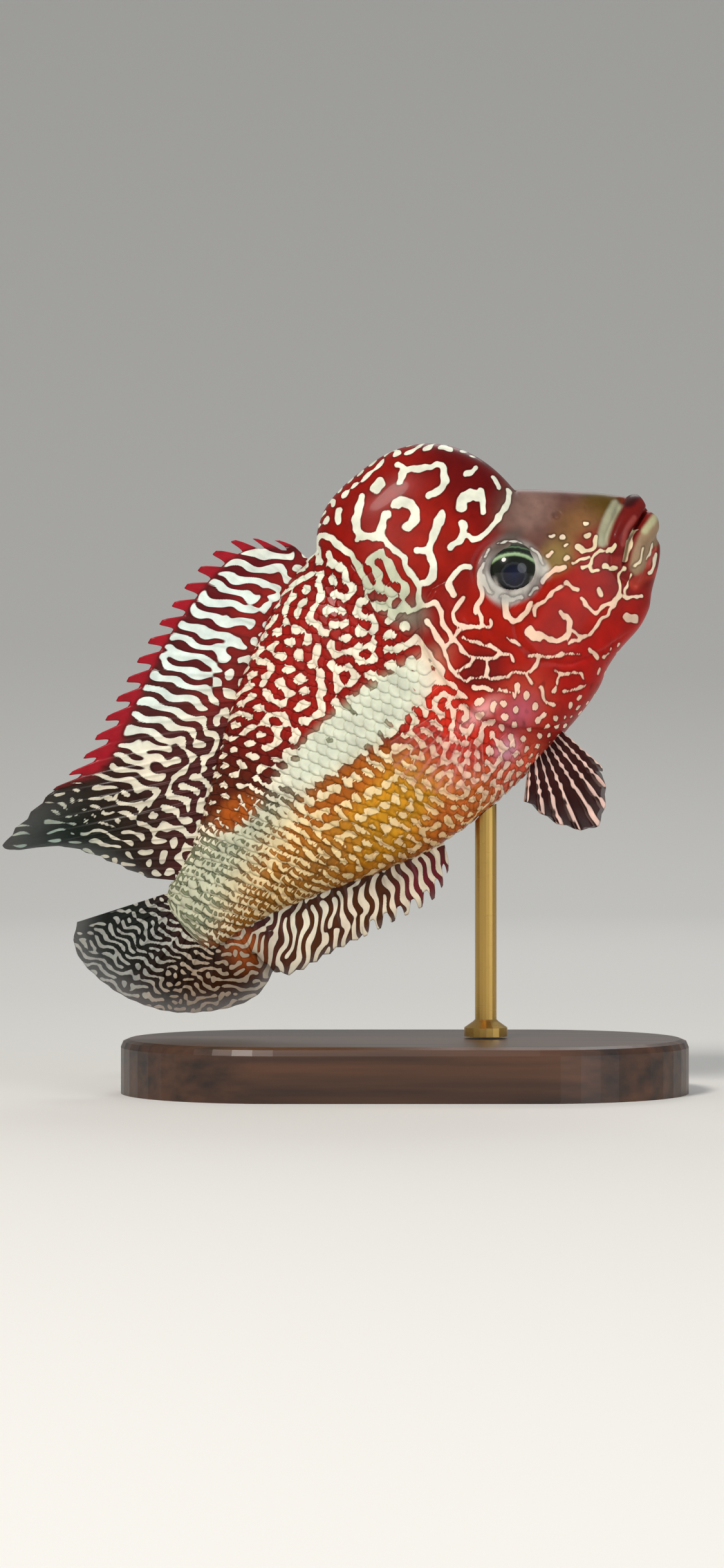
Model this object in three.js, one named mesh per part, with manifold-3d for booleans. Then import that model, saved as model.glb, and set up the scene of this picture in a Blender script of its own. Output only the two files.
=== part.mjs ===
// Flowerhorn cichlid, a young adult, as a life-size still model on a small display stand.
// The fish is modelled level, in millimetres: +X to the snout, +Z to the back, -Y to its right flank,
// with its origin at the middle of the tail root. It is then pitched nose up and set over the stand.
// The finished model stands on z = 0, under the middle of its own box.
import * as THREE from "three";
import { mergeVertices } from "three/addons/utils/BufferGeometryUtils.js";
import Module from "manifold-3d";

const wasm = await Module();
wasm.setup();

// Driving dimensions
const PITCH_DEG = 38.5; // how far the nose points up
const GAP = 0.3; // clearance between touching nodes
const HALF_SPACE = 30; // reaches past the fish on either side
const SNOUT_X = 91; // front of the closed mouth
const TAIL_X = -1.2; // back of the fleshy tail root
const TAIL_END_Z = -0.6;
const SNOUT_Z = 5;
const SCRAP_VOLUME = 5; // cubic millimetres, smaller than any piece of the body
const RING_STEPS = 18; // faces from belly to back on one flank
// Where the body's upright sections stand: closer over the head, closest at the hump's front and the mouth
const SECTIONS = {
  wideFrom: 2, wide: 5, closeFrom: 47, close: 2.3, closeTo: 75.5,
  tail: [-0.9, -0.4, 0.4], front: [76.2, 76.9, 77.3, 77.6, 79, 81, 83, 85, 86.8, 88.2, 89.2, 90, 90.6],
};

// Outline of the body without the hump, as [x, z] of the back and of the belly
const BACK = [
  [TAIL_X, 1.5], [-0.6, 3.9], [0.6, 5.0], [5, 6.6], [10, 9.4], [15, 13], [20, 16.8], [25, 20.3], [30, 23.4],
  [35, 26], [40, 28.2], [45, 30], [50, 30.4], [55, 29.4], [60, 27.9], [65, 26], [70, 23.6], [75, 20.8],
  [78, 18.9], [82, 15.6], [85, 12.9], [87.5, 10.6], [89, 9], [90, 7.9], [90.6, 6.9], [SNOUT_X, 5.2],
];
const BELLY = [
  [TAIL_X, -2.6], [-0.6, -5.2], [0.6, -6.2], [5, -6.6], [10, -7.4], [15, -8.7], [20, -10.3], [25, -12],
  [30, -13.5], [35, -14.7], [40, -15.2], [45, -15.2], [50, -14.9], [55, -14.4], [60, -13.6], [65, -12.6],
  [69, -11.4], [72, -9.8], [75, -8.9], [79, -8.2], [82, -6.9], [84, -5.1], [87.5, -2.4], [89, -0.8],
  [90, 1.1], [90.6, 3.2], [SNOUT_X, 4.8],
];
// Half of the body's thickness, and the height at which it is thickest
const HALF_WIDTH = [
  [TAIL_X, 0.5], [-0.4, 1.2], [0.6, 1.6], [3, 2.2], [6, 2.9], [10, 3.8], [15, 5], [20, 6.1], [30, 8],
  [40, 9.4], [50, 10.3], [56, 10.5], [62, 10.1], [68, 9.2], [74, 7.9], [80, 6.3], [84, 5.1], [87, 4],
  [88.6, 3.2], [89.8, 2.3], [90.6, 1.3], [SNOUT_X, 0.3],
];
const WIDEST_AT = [[TAIL_X, -0.6], [20, 2], [40, 3], [55, 3], [65, 4], [75, 4.5], [85, 4], [SNOUT_X, 5]];
const BACK_FULLNESS = 0.6; // 0.5 is an ellipse, more is a sharper ridge
const BELLY_FULLNESS = 0.47;

// The fatty hump on the forehead: a bulb with a rounder front
const HUMP = { x: 61.8, z: 19, length: 15.6, height: 16.6, halfWidth: 8, front: 2.3, rear: 3, crown: 2.2 };
const HUMP_BLEND = 4; // how sharply the hump's sides run into the head

// Eye and the rim of the socket
const EYE = {
  x: 70, y: 5.6, z: 10, radius: 4.7, around: 20, up: 12,
  rimRadius: 4.1, rimThickness: 0.7, rimSunk: 0.15, rimSides: 7, rimAround: 22,
};
const NOSTRIL = { x: 79.5, z: 12.3, radius: 0.55, around: 8, up: 5 };
// Mouth: the cleft from the front of the lips to the corner, and the roll of the lips
const MOUTH = {
  frontX: 90.9, frontZ: 4.8, cornerX: 82.8, cornerZ: 0.6,
  lipRadius: 1.15, upperLift: 1, lowerLift: -1.05, sunk: 0.45, setBack: 0.8,
  lipSteps: 18, lipSides: 4, lipBends: 8,
};

// Cut lines that part the body, as [x, z]
const CUT_PEDUNCLE = [[8.4, -20], [9.6, -4], [9.4, 8], [8, 24]];
const CUT_HUMP = [[45.8, 33], [48.6, 28.4], [52, 24.6], [58, 20.4], [65, 18.2], [72, 18], [80.5, 20.8]];
const CUT_GILL = [
  [48.6, 28.4], [50.2, 21], [50.6, 12], [49.6, 4], [50.4, -3], [53.4, -9], [57.6, -12.6], [60, -18],
];
const CUT_MOUTH = [[93, 5], [MOUTH.frontX, MOUTH.frontZ], [87, 3.5], [MOUTH.cornerX, MOUTH.cornerZ]];
const CUT_JAW = [[MOUTH.cornerX, MOUTH.cornerZ], [81.2, -3], [80.2, -7], [80, -12]];
// Steps along each cut, and about where the middle of each part of the body is after them
const CUTS = [[CUT_PEDUNCLE, 6], [CUT_HUMP, 14], [CUT_GILL, 14], [CUT_MOUTH, 4], [CUT_JAW, 4]];
const MIDDLES = {
  tail_stalk: [4, 0], trunk: [30, 6], head: [70, 4], nuchal_hump: [62, 28], lower_jaw: [86, -2],
};
const GILL_COVER = [
  [62.6, 11.4], [58, 13.6], [53.2, 12], [51.4, 6.4], [51.2, 1], [52.6, -4], [56, -8.6], [61, -10.2],
  [65.2, -8], [63.4, -3], [61.8, 4],
];
const COVER = { raised: 0.45, sunk: 1.1, middle: [57.6, 1.4], outlineSteps: 30 };

// Fins: root and tip lines as [x, z], each from the first ray to the last
// Half thicknesses are those of the membrane at its root and edge, and of a ray at its root
const FIN = {
  membrane: 0.34, edge: 0.26, ray: 0.62, spineTaper: 0.45, rayTaper: 0.6, softScallop: 0.4,
  rowSteps: 7, rootSteps: 200,
};
const DORSAL = {
  root: [[47.4, 28.6], [40, 26.6], [30, 21.8], [20, 15.4], [14, 10.6], [8, 6.6], [3.4, 4.2]],
  tip: [
    [46.6, 34.4], [38.6, 39.4], [25, 36.4], [10, 30], [2, 27.8], [-8, 26.6], [-14.8, 24.8], [-7.2, 19],
    [-0.8, 8.2],
  ],
  spines: 17, rays: 11, scallop: 1.3,
};
const ANAL = {
  root: [[37.6, -13.2], [31, -12.2], [25, -10.4], [19, -8.4], [13, -6.6], [6.6, -5.2]],
  tip: [[35.4, -18.4], [30.4, -20.6], [22.4, -19.3], [14, -17.6], [6.6, -15.9], [5.2, -10]],
  spines: 7, rays: 9, scallop: 1,
};
const CAUDAL = {
  root: [[1.2, 4.2], [1.4, 2], [1.6, -0.4], [1.9, -2.6], [2.4, -4.4], [3.4, -5.6]],
  tip: [[-15.4, 9.7], [-16.3, 3.4], [-14.6, -3.4], [-10.6, -9.6], [-4.4, -14], [3.5, -15.2]],
  spines: 0, rays: 17, scallop: 0.35, sweep: 2.6,
};
const PELVIC = {
  root: [[60.6, -12.4], [59, -12.6], [57.4, -12.8], [55.8, -13], [54.4, -13.2]],
  tip: [[61.9, -20.6], [59.4, -24.8], [55.4, -27.2], [51.8, -23.6], [50, -17.8]],
  spines: 1, rays: 6, scallop: 0.6, side: 2.2, splay: 3.4,
};
const PECTORAL = {
  root: [[48.6, 0.4], [48.5, -1.2], [48.8, -2.9], [49.5, -4.7], [50.6, -6.3]],
  tip: [[39.6, 1.6], [37.6, -2.2], [38.6, -6.4], [42, -9.9], [46.8, -11.8]],
  spines: 0, rays: 11, scallop: 0.25, flare: 3, rise: 1.4,
};

// Display stand: a flat round-ended base and one rod to the belly between the pelvic and anal fins
const ROD = {
  bellyX: 44.6, radius: 1.6, collarRadius: 3.2, collarHeight: 2.2, collarEdge: 1.3, fillet: 0.3,
  overlap: 4, sides: 20,
};
const BASE = {
  length: 84, depth: 46, thickness: 8, edge: 1.2, endSteps: 12, clearBelowFins: 3.5, towardsTail: 12,
};

// Smooth function of x through [x, value] points, with no overshoot
function through(points) {
  const n = points.length;
  const slope = points.slice(1).map((p, i) => (p[1] - points[i][1]) / (p[0] - points[i][0]));
  const tangent = points.map((_, i) => {
    if (i === 0) return slope[0];
    if (i === n - 1) return slope[n - 2];
    const [a, b] = [slope[i - 1], slope[i]];
    return a * b <= 0 ? 0 : (2 * a * b) / (a + b);
  });
  return (x) => {
    let i = points.findIndex((p) => p[0] > x) - 1;
    if (i < 0) i = x < points[0][0] ? 0 : n - 2;
    const [[x0, v0], [x1, v1]] = [points[i], points[i + 1]];
    const h = x1 - x0;
    const t = THREE.MathUtils.clamp((x - x0) / h, 0, 1);
    const [t2, t3] = [t * t, t * t * t];
    const bend = tangent[i] * (t3 - 2 * t2 + t) + tangent[i + 1] * (t3 - t2);
    return v0 * (2 * t3 - 3 * t2 + 1) + v1 * (3 * t2 - 2 * t3) + h * bend;
  };
}
const back = through(BACK);
const belly = through(BELLY);
const halfWidth = through(HALF_WIDTH);
const widestAt = through(WIDEST_AT);

// How much of the hump's length is used up at x, raised to its own roundness
function humpReach(x) {
  const share = Math.abs(x - HUMP.x) / HUMP.length;
  return share ** (x > HUMP.x ? HUMP.front : HUMP.rear);
}
function crownHeight(x) {
  const left = 1 - humpReach(x);
  const hump = left > 0 ? HUMP.z + HUMP.height * left ** (1 / HUMP.crown) : -Infinity;
  return Math.max(back(x), hump);
}
// Half of the thickness of head, hump and trunk at a point of the side view
function flank(x, z) {
  const middle = widestAt(x);
  const above = z >= middle;
  const t = above ? (z - middle) / (back(x) - middle) : (middle - z) / (middle - belly(x));
  const inside = Math.max(0, 1 - t * t);
  const body = halfWidth(x) * inside ** (above ? BACK_FULLNESS : BELLY_FULLNESS);
  const high = Math.abs(z - HUMP.z) / HUMP.height;
  const left = 1 - humpReach(x) - high ** HUMP.crown;
  const hump = left > 0 ? HUMP.halfWidth * Math.sqrt(left) : 0;
  return (body ** HUMP_BLEND + hump ** HUMP_BLEND) ** (1 / HUMP_BLEND);
}

// A closed solid from a three.js geometry, and back
function solid(geometry) {
  const bare = geometry.index ? geometry.clone() : geometry;
  bare.deleteAttribute("normal");
  bare.deleteAttribute("uv");
  const merged = mergeVertices(bare, 1e-4);
  return new wasm.Manifold(new wasm.Mesh({
    numProp: 3,
    vertProperties: new Float32Array(merged.attributes.position.array),
    triVerts: new Uint32Array(merged.index.array),
  }));
}
function geometryOf(manifold) {
  const mesh = manifold.getMesh();
  return new THREE.BufferGeometry()
    .setAttribute("position", new THREE.BufferAttribute(new Float32Array(mesh.vertProperties), 3))
    .setIndex(new THREE.BufferAttribute(new Uint32Array(mesh.triVerts), 1));
}
function largest(manifold) {
  return manifold.decompose().reduce((a, b) => (b.volume() > a.volume() ? b : a));
}

// The whole body as one loft of upright sections, grown by `grow` on every side
function bodyLoft(grow) {
  const stations = [...SECTIONS.tail];
  for (let x = SECTIONS.wideFrom; x < SECTIONS.closeFrom; x += SECTIONS.wide) stations.push(x);
  for (let x = SECTIONS.closeFrom; x < SECTIONS.closeTo; x += SECTIONS.close) stations.push(x);
  stations.push(...SECTIONS.front);
  const rings = stations.map((x) => {
    const [low, high] = [belly(x) - grow, crownHeight(x) + grow];
    const right = [];
    for (let i = 0; i <= RING_STEPS; i++) {
      const turn = (Math.PI * i) / RING_STEPS;
      const z = low + ((high - low) * (1 - Math.cos(turn))) / 2;
      const trueZ = belly(x) + ((crownHeight(x) - belly(x)) * (1 - Math.cos(turn))) / 2;
      const y = i === 0 || i === RING_STEPS ? 0 : Math.max(flank(x, trueZ) + grow * Math.sin(turn), 0.05);
      right.push([x, -y, z]);
    }
    const left = right.slice(1, -1).reverse().map(([a, b, c]) => [a, -b, c]);
    return [...right, ...left];
  });
  return loft(rings, [TAIL_X - grow, 0, TAIL_END_Z], [SNOUT_X + grow, 0, SNOUT_Z]);
}
// Closed skin over rings of points, ended by a point at each end
function loft(rings, first, last) {
  const count = rings[0].length;
  const points = [...rings.flat(), first, last];
  const faces = [];
  const firstAt = rings.length * count;
  for (let j = 0; j < count; j++) {
    const k = (j + 1) % count;
    for (let i = 0; i + 1 < rings.length; i++) {
      const [a, b, c, d] = [i * count + j, i * count + k, (i + 1) * count + k, (i + 1) * count + j];
      faces.push(a, c, b, a, d, c);
    }
    faces.push(firstAt, j, k, firstAt + 1, (rings.length - 1) * count + k, (rings.length - 1) * count + j);
  }
  const geometry = new THREE.BufferGeometry()
    .setAttribute("position", new THREE.Float32BufferAttribute(points.flat(), 3))
    .setIndex(faces);
  return oriented(geometry);
}
// The geometry with its faces turned outwards
function oriented(geometry) {
  const made = solid(geometry);
  if (made.volume() > 0) return made;
  const index = geometry.index.array;
  for (let i = 0; i < index.length; i += 3) [index[i + 1], index[i + 2]] = [index[i + 2], index[i + 1]];
  return solid(geometry);
}

// A slab right through the fish with the outline given in side view
function slab(outline, near = -HALF_SPACE, far = HALF_SPACE) {
  const shape = new THREE.Shape(outline.map(([x, z]) => new THREE.Vector2(x, z)));
  const geometry = new THREE.ExtrudeGeometry(shape, { depth: far - near, bevelEnabled: false });
  geometry.rotateX(Math.PI / 2);
  geometry.translate(0, far, 0);
  return solid(geometry);
}
function smoothLine(points, steps) {
  const curve = new THREE.CatmullRomCurve3(points.map(([x, z]) => new THREE.Vector3(x, z, 0)));
  return curve.getSpacedPoints(steps).map((p) => [p.x, p.y]);
}
// A thin cut that follows a line in side view
function kerf(points, steps) {
  const line = smoothLine(points, steps);
  const side = (sign) => line.map(([x, z], i) => {
    const [a, b] = [line[Math.max(0, i - 1)], line[Math.min(line.length - 1, i + 1)]];
    const length = Math.hypot(b[0] - a[0], b[1] - a[1]);
    return [x - (sign * GAP * (b[1] - a[1])) / (2 * length), z + (sign * GAP * (b[0] - a[0])) / (2 * length)];
  });
  return slab([...side(1), ...side(-1).reverse()]);
}

// Roll of one lip, round the front of the mouth from corner to corner
function lip(lift) {
  const line = [];
  for (let i = -MOUTH.lipBends; i <= MOUTH.lipBends; i++) {
    const share = Math.cos((i / MOUTH.lipBends) * (Math.PI / 2));
    const x = MOUTH.cornerX + (MOUTH.frontX - MOUTH.setBack - MOUTH.cornerX) * share;
    const z = THREE.MathUtils.mapLinear(x, MOUTH.cornerX, MOUTH.frontX, MOUTH.cornerZ, MOUTH.frontZ) + lift;
    line.push(new THREE.Vector3(x, Math.sign(i) * Math.max(flank(x, z) - MOUTH.sunk, 0), z));
  }
  const path = new THREE.CatmullRomCurve3(line);
  const section = new THREE.Shape();
  section.absarc(0, 0, MOUTH.lipRadius, 0, 2 * Math.PI);
  return solid(new THREE.ExtrudeGeometry(section, {
    steps: MOUTH.lipSteps, curveSegments: MOUTH.lipSides, extrudePath: path,
  }));
}

// Fin: a membrane with a ridge for each ray, modelled in side view and bent sideways by `place`
function fin(plan, place) {
  const rays = plan.spines + plan.rays;
  const columns = 2 * rays - 1;
  const [root, tip] = [smoothLine(plan.root, FIN.rootSteps), smoothLine(plan.tip, FIN.rootSteps)];
  const rows = FIN.rowSteps;
  const front = [];
  const behind = [];
  for (let c = 0; c < columns; c++) {
    const share = c / (columns - 1);
    const onRay = c % 2 === 0;
    const spine = c / 2 < plan.spines;
    const [a, b] = [root[Math.round(share * FIN.rootSteps)], tip[Math.round(share * FIN.rootSteps)]];
    const length = Math.hypot(b[0] - a[0], b[1] - a[1]);
    const reach = onRay ? 1 : 1 - (plan.scallop * (spine ? 1 : FIN.softScallop)) / length;
    for (let r = 0; r <= rows; r++) {
      const v = (r / rows) * reach;
      const ray = FIN.ray * (1 - (spine ? FIN.spineTaper : FIN.rayTaper) * v);
      const thick = onRay ? ray : FIN.membrane + (FIN.edge - FIN.membrane) * v;
      const x = a[0] + (b[0] - a[0]) * v;
      const z = a[1] + (b[1] - a[1]) * v;
      front.push(place(x, z, v, -thick));
      behind.push(place(x, z, v, thick));
    }
  }
  const points = [...front, ...behind];
  const n = front.length;
  const faces = [];
  const quad = (a, b, c, d) => faces.push(a, b, c, a, c, d);
  for (let c = 0; c + 1 < columns; c++) {
    for (let r = 0; r < rows; r++) {
      const [a, b] = [c * (rows + 1) + r, (c + 1) * (rows + 1) + r];
      quad(a, b, b + 1, a + 1);
      faces.push(n + a, n + b + 1, n + b, n + a, n + a + 1, n + b + 1);
    }
  }
  for (let c = 0; c + 1 < columns; c++) {
    const [a, b] = [c * (rows + 1), (c + 1) * (rows + 1)];
    quad(b, a, n + a, n + b);
    quad(a + rows, b + rows, n + b + rows, n + a + rows);
  }
  for (let r = 0; r < rows; r++) {
    const last = (columns - 1) * (rows + 1) + r;
    quad(r, r + 1, n + r + 1, n + r);
    quad(last + 1, last, n + last, n + last + 1);
  }
  const geometry = new THREE.BufferGeometry()
    .setAttribute("position", new THREE.Float32BufferAttribute(points.flat(), 3))
    .setIndex(faces);
  return oriented(geometry);
}
const upright = (x, z, v, side) => [x, side, z];
const sweptTail = (x, z, v, side) => [x, side + CAUDAL.sweep * v * v, z];

// Body solids
const whole = bodyLoft(0);
const cleared = bodyLoft(GAP);
const outer = bodyLoft(COVER.raised);
const inner = bodyLoft(-COVER.sunk);
const pocket = bodyLoft(-COVER.sunk - GAP);

function ball(radius, x, y, z, around, up) {
  const geometry = new THREE.SphereGeometry(radius, around, up);
  geometry.rotateX(Math.PI / 2);
  geometry.translate(x, y, z);
  return solid(geometry);
}
// Raised rim of the eye socket, leaning with the slope of the face
const faceAt = flank(EYE.x, EYE.z);
function rim(side) {
  const geometry = new THREE.TorusGeometry(EYE.rimRadius, EYE.rimThickness, EYE.rimSides, EYE.rimAround);
  geometry.rotateX(Math.PI / 2);
  const reach = EYE.rimRadius;
  const ahead = (flank(EYE.x + reach, EYE.z) - flank(EYE.x - reach, EYE.z)) / (2 * reach);
  const upward = (flank(EYE.x, EYE.z + reach) - flank(EYE.x, EYE.z - reach)) / (2 * reach);
  geometry.rotateZ(side * Math.atan(ahead));
  geometry.rotateX(-side * Math.atan(upward));
  geometry.translate(EYE.x, side * (faceAt - EYE.rimSunk), EYE.z);
  return solid(geometry);
}

let flesh = whole.add(lip(MOUTH.upperLift)).add(lip(MOUTH.lowerLift));
for (const side of [-1, 1]) {
  flesh = flesh.add(rim(side));
  flesh = flesh.subtract(ball(EYE.radius + GAP, EYE.x, side * EYE.y, EYE.z, EYE.around, EYE.up));
  const nostrilY = side * flank(NOSTRIL.x, NOSTRIL.z);
  flesh = flesh.subtract(ball(NOSTRIL.radius, NOSTRIL.x, nostrilY, NOSTRIL.z, NOSTRIL.around, NOSTRIL.up));
}
const coverOutline = smoothLine([...GILL_COVER, GILL_COVER[0]], COVER.outlineSteps).slice(0, -1);
const coverGrown = coverOutline.map(([x, z]) => {
  const [fromX, fromZ] = [x - COVER.middle[0], z - COVER.middle[1]];
  const grow = GAP / Math.hypot(fromX, fromZ);
  return [x + fromX * grow, z + fromZ * grow];
});
flesh = flesh.subtract(slab(coverGrown).subtract(pocket));
for (const [line, steps] of CUTS) flesh = flesh.subtract(kerf(line, steps));
const pieces = flesh.decompose().filter((p) => p.volume() > SCRAP_VOLUME);
const centre = (p) => {
  const { min, max } = p.boundingBox();
  return [(min[0] + max[0]) / 2, (min[2] + max[2]) / 2];
};
// The piece of the body whose box is centred nearest to a place in side view
function nearest([x, z]) {
  const away = (piece) => Math.hypot(centre(piece)[0] - x, centre(piece)[1] - z);
  return pieces.reduce((a, b) => (away(b) < away(a) ? b : a));
}

function gillCover(side) {
  const [near, far] = side < 0 ? [-HALF_SPACE, 0] : [0, HALF_SPACE];
  return largest(outer.subtract(inner).intersect(slab(coverOutline, near, far)));
}
const overCover = bodyLoft(COVER.raised + GAP).intersect(slab(coverGrown));
const cut = (piece) => largest(piece.subtract(cleared).subtract(overCover));

// Paired fins stand off the body more and more towards their tips
const splayed = (side) => (x, z, v, thick) => [x, side * (PELVIC.side + PELVIC.splay * v) + thick, z];
const pectoralSide = flank(...PECTORAL.root[2]) - PECTORAL.rise;
const flared = (side) => (x, z, v, thick) => [
  x, side * (pectoralSide + PECTORAL.rise * Math.min(1, v * 3) + PECTORAL.flare * v) + thick, z,
];

// Materials, as the fish shows them
const skin = (color, roughness = 0.35) => new THREE.MeshStandardMaterial({ color, roughness, metalness: 0 });
const RED_SKIN = skin(0xa8201a);
const GOLD_SKIN = skin(0xc08a3c);
const PALE_SKIN = skin(0xb9bfa6);
const FIN_SKIN = skin(0x7d3a36, 0.4);
const CLEAR_FIN = skin(0xd8b8b0, 0.3);
const EYE_GLASS = skin(0x15161c, 0.05);
const BASE_WOOD = skin(0x3a2418, 0.5);
const ROD_BRASS = new THREE.MeshStandardMaterial({ color: 0xb08d4a, roughness: 0.25, metalness: 1 });

const fish = new THREE.Group();
fish.rotation.y = -THREE.MathUtils.degToRad(PITCH_DEG);
function node(parent, name, manifold, material) {
  const mesh = new THREE.Mesh(geometryOf(manifold), material);
  mesh.name = name;
  parent.add(mesh);
  return mesh;
}
node(fish, "tail_stalk", nearest(MIDDLES.tail_stalk), PALE_SKIN);
node(fish, "trunk", nearest(MIDDLES.trunk), GOLD_SKIN);
node(fish, "head", nearest(MIDDLES.head), RED_SKIN);
node(fish, "nuchal_hump", nearest(MIDDLES.nuchal_hump), RED_SKIN);
node(fish, "lower_jaw", nearest(MIDDLES.lower_jaw), RED_SKIN);
node(fish, "dorsal_fin", cut(fin(DORSAL, upright)), FIN_SKIN);
node(fish, "anal_fin", cut(fin(ANAL, upright)), FIN_SKIN);
node(fish, "tail_fin", cut(fin(CAUDAL, sweptTail)), FIN_SKIN);
for (const [side, name] of [[-1, "right"], [1, "left"]]) {
  node(fish, `gill_cover_${name}`, gillCover(side), RED_SKIN);
  node(fish, `eye_${name}`, ball(EYE.radius, EYE.x, side * EYE.y, EYE.z, EYE.around, EYE.up), EYE_GLASS);
  node(fish, `pectoral_fin_${name}`, cut(fin(PECTORAL, flared(side))), CLEAR_FIN);
  node(fish, `pelvic_fin_${name}`, cut(fin(PELVIC, splayed(side))), FIN_SKIN);
}

// Stand, placed under the pitched fish
const stand = new THREE.Group();
const model = new THREE.Group();
model.add(fish, stand);
model.updateMatrixWorld(true);
const fishBox = new THREE.Box3().setFromObject(fish, true);
const bellyPoint = new THREE.Vector3(ROD.bellyX, 0, belly(ROD.bellyX)).applyMatrix4(fish.matrixWorld);
const baseTop = fishBox.min.z - BASE.clearBelowFins;

function rodSolid() {
  const height = bellyPoint.z + ROD.overlap - (baseTop + GAP);
  const profile = [
    [0, 0], [ROD.collarRadius, 0], [ROD.collarRadius, ROD.collarEdge],
    [ROD.radius + ROD.fillet, ROD.collarHeight], [ROD.radius, ROD.collarHeight + ROD.fillet],
    [ROD.radius, height], [0, height],
  ].map(([r, h]) => new THREE.Vector2(r, h));
  const geometry = new THREE.LatheGeometry(profile, ROD.sides);
  geometry.rotateX(Math.PI / 2);
  geometry.translate(bellyPoint.x, 0, baseTop + GAP);
  const blocked = geometryOf(cleared).applyMatrix4(fish.matrixWorld);
  return largest(oriented(geometry).subtract(solid(blocked)));
}
function baseSolid() {
  const radius = BASE.depth / 2;
  const straight = BASE.length / 2 - radius;
  const shape = new THREE.Shape();
  shape.absarc(straight, 0, radius - BASE.edge, -Math.PI / 2, Math.PI / 2);
  shape.absarc(-straight, 0, radius - BASE.edge, Math.PI / 2, (3 * Math.PI) / 2);
  shape.closePath();
  const geometry = new THREE.ExtrudeGeometry(shape, {
    depth: BASE.thickness - BASE.edge, curveSegments: BASE.endSteps,
    bevelThickness: BASE.edge, bevelSize: BASE.edge, bevelSegments: 2, bevelOffset: 0,
  });
  geometry.translate(bellyPoint.x - BASE.towardsTail, 0, baseTop - BASE.thickness);
  return solid(geometry).trimByPlane([0, 0, 1], baseTop - BASE.thickness);
}
node(stand, "stand_rod", rodSolid(), ROD_BRASS);
node(stand, "stand_base", baseSolid(), BASE_WOOD);

const box = new THREE.Box3().setFromObject(model, true);
model.position.set(-(box.min.x + box.max.x) / 2, -(box.min.y + box.max.y) / 2, -box.min.z);

export default model;
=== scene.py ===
import math

import bmesh
import bpy
import numpy as np
from mathutils import Matrix, Vector


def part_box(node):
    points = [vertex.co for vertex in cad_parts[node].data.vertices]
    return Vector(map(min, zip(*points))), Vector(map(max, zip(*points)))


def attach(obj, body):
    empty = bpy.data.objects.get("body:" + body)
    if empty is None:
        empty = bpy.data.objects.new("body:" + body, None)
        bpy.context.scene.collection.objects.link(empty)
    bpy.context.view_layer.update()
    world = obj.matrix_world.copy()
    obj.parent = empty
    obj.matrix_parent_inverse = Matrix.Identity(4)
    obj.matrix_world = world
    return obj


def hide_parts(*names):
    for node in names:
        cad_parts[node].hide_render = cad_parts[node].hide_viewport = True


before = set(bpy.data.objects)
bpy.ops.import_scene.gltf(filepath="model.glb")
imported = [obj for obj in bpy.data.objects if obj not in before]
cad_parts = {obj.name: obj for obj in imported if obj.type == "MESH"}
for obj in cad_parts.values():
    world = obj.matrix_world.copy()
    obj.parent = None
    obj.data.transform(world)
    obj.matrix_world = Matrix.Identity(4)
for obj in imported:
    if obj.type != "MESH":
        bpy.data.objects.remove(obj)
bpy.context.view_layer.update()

# The view: the fish's right flank seen level from the side, in an upright frame.
# The fish is described in millimetres as it would swim level, with +X to the snout and +Z to the back,
# from the middle of its tail root, and is then pitched nose up as the CAD model is.
MM = 0.001
PITCH = math.radians(38.5)
EYE_X, EYE_Z = 70.0, 10.0  # middle of the CAD eye on the level fish
PHOTO_WIDTH, PHOTO_HEIGHT = 1125, 2436
PHOTO_PX_PER_MM = 10.5
TAIL_ROOT_PX = (289, 1426)
CAMERA_AWAY = 0.62
FILM_HEIGHT = 36
NEAREST_SEEN = 0.01

eye_low, eye_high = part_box("eye_right")
eye_middle = (eye_low + eye_high) / 2 / MM
SHIFT_X = eye_middle.x - (EYE_X * math.cos(PITCH) - EYE_Z * math.sin(PITCH))
SHIFT_Z = eye_middle.z - (EYE_X * math.sin(PITCH) + EYE_Z * math.cos(PITCH))

view_x = (SHIFT_X + (PHOTO_WIDTH / 2 - TAIL_ROOT_PX[0]) / PHOTO_PX_PER_MM) * MM
view_z = (SHIFT_Z + (TAIL_ROOT_PX[1] - PHOTO_HEIGHT / 2) / PHOTO_PX_PER_MM) * MM
camera_data = bpy.data.cameras.new("camera")
camera_data.sensor_fit = "VERTICAL"
camera_data.sensor_height = FILM_HEIGHT
camera_data.lens = FILM_HEIGHT * CAMERA_AWAY / (PHOTO_HEIGHT / PHOTO_PX_PER_MM * MM)
camera_data.clip_start = NEAREST_SEEN
camera = bpy.data.objects.new("camera", camera_data)
camera.location = (view_x, -CAMERA_AWAY, view_z)
camera.rotation_euler = (math.pi / 2, 0, 0)
bpy.context.collection.objects.link(camera)
bpy.context.scene.camera = camera

# Studio: a soft key from above the camera's left, a broad fill, a light for the fins' edges and a pale room.
# The floor is one sheet of pale paper that sweeps up behind the model.
FLOOR_SIZE = 14.0
SWEEP_FROM = 0.5  # metres behind the model's middle where the paper starts to climb
SWEEP_CLIMB, SWEEP_POWER = 0.42, 1.6
AIM = (0.0, 0.0, 0.05)
ROOM_TINT, ROOM_LIGHT = (0.93, 0.93, 0.92, 1), 0.34


def linear(hex_code):
    """sRGB hex to linear red, green and blue."""
    parts = [int(hex_code[i:i + 2], 16) / 255 for i in (1, 3, 5)]
    return [p / 12.92 if p <= 0.04045 else ((p + 0.055) / 1.055) ** 2.4 for p in parts]


def add(tree, kind, inputs=(), **settings):
    """Adds a node with its settings; each input is (socket, value or another node's output)."""
    made = tree.nodes.new(kind)
    for key, value in settings.items():
        setattr(made, key, value)
    for socket, value in inputs:
        if isinstance(value, bpy.types.NodeSocket):
            tree.links.new(value, made.inputs[socket])
        else:
            made.inputs[socket].default_value = value
    return made


def new_material(name):
    material = bpy.data.materials.new(name)
    material.use_nodes = True
    material.node_tree.nodes.clear()
    return material, material.node_tree


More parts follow.
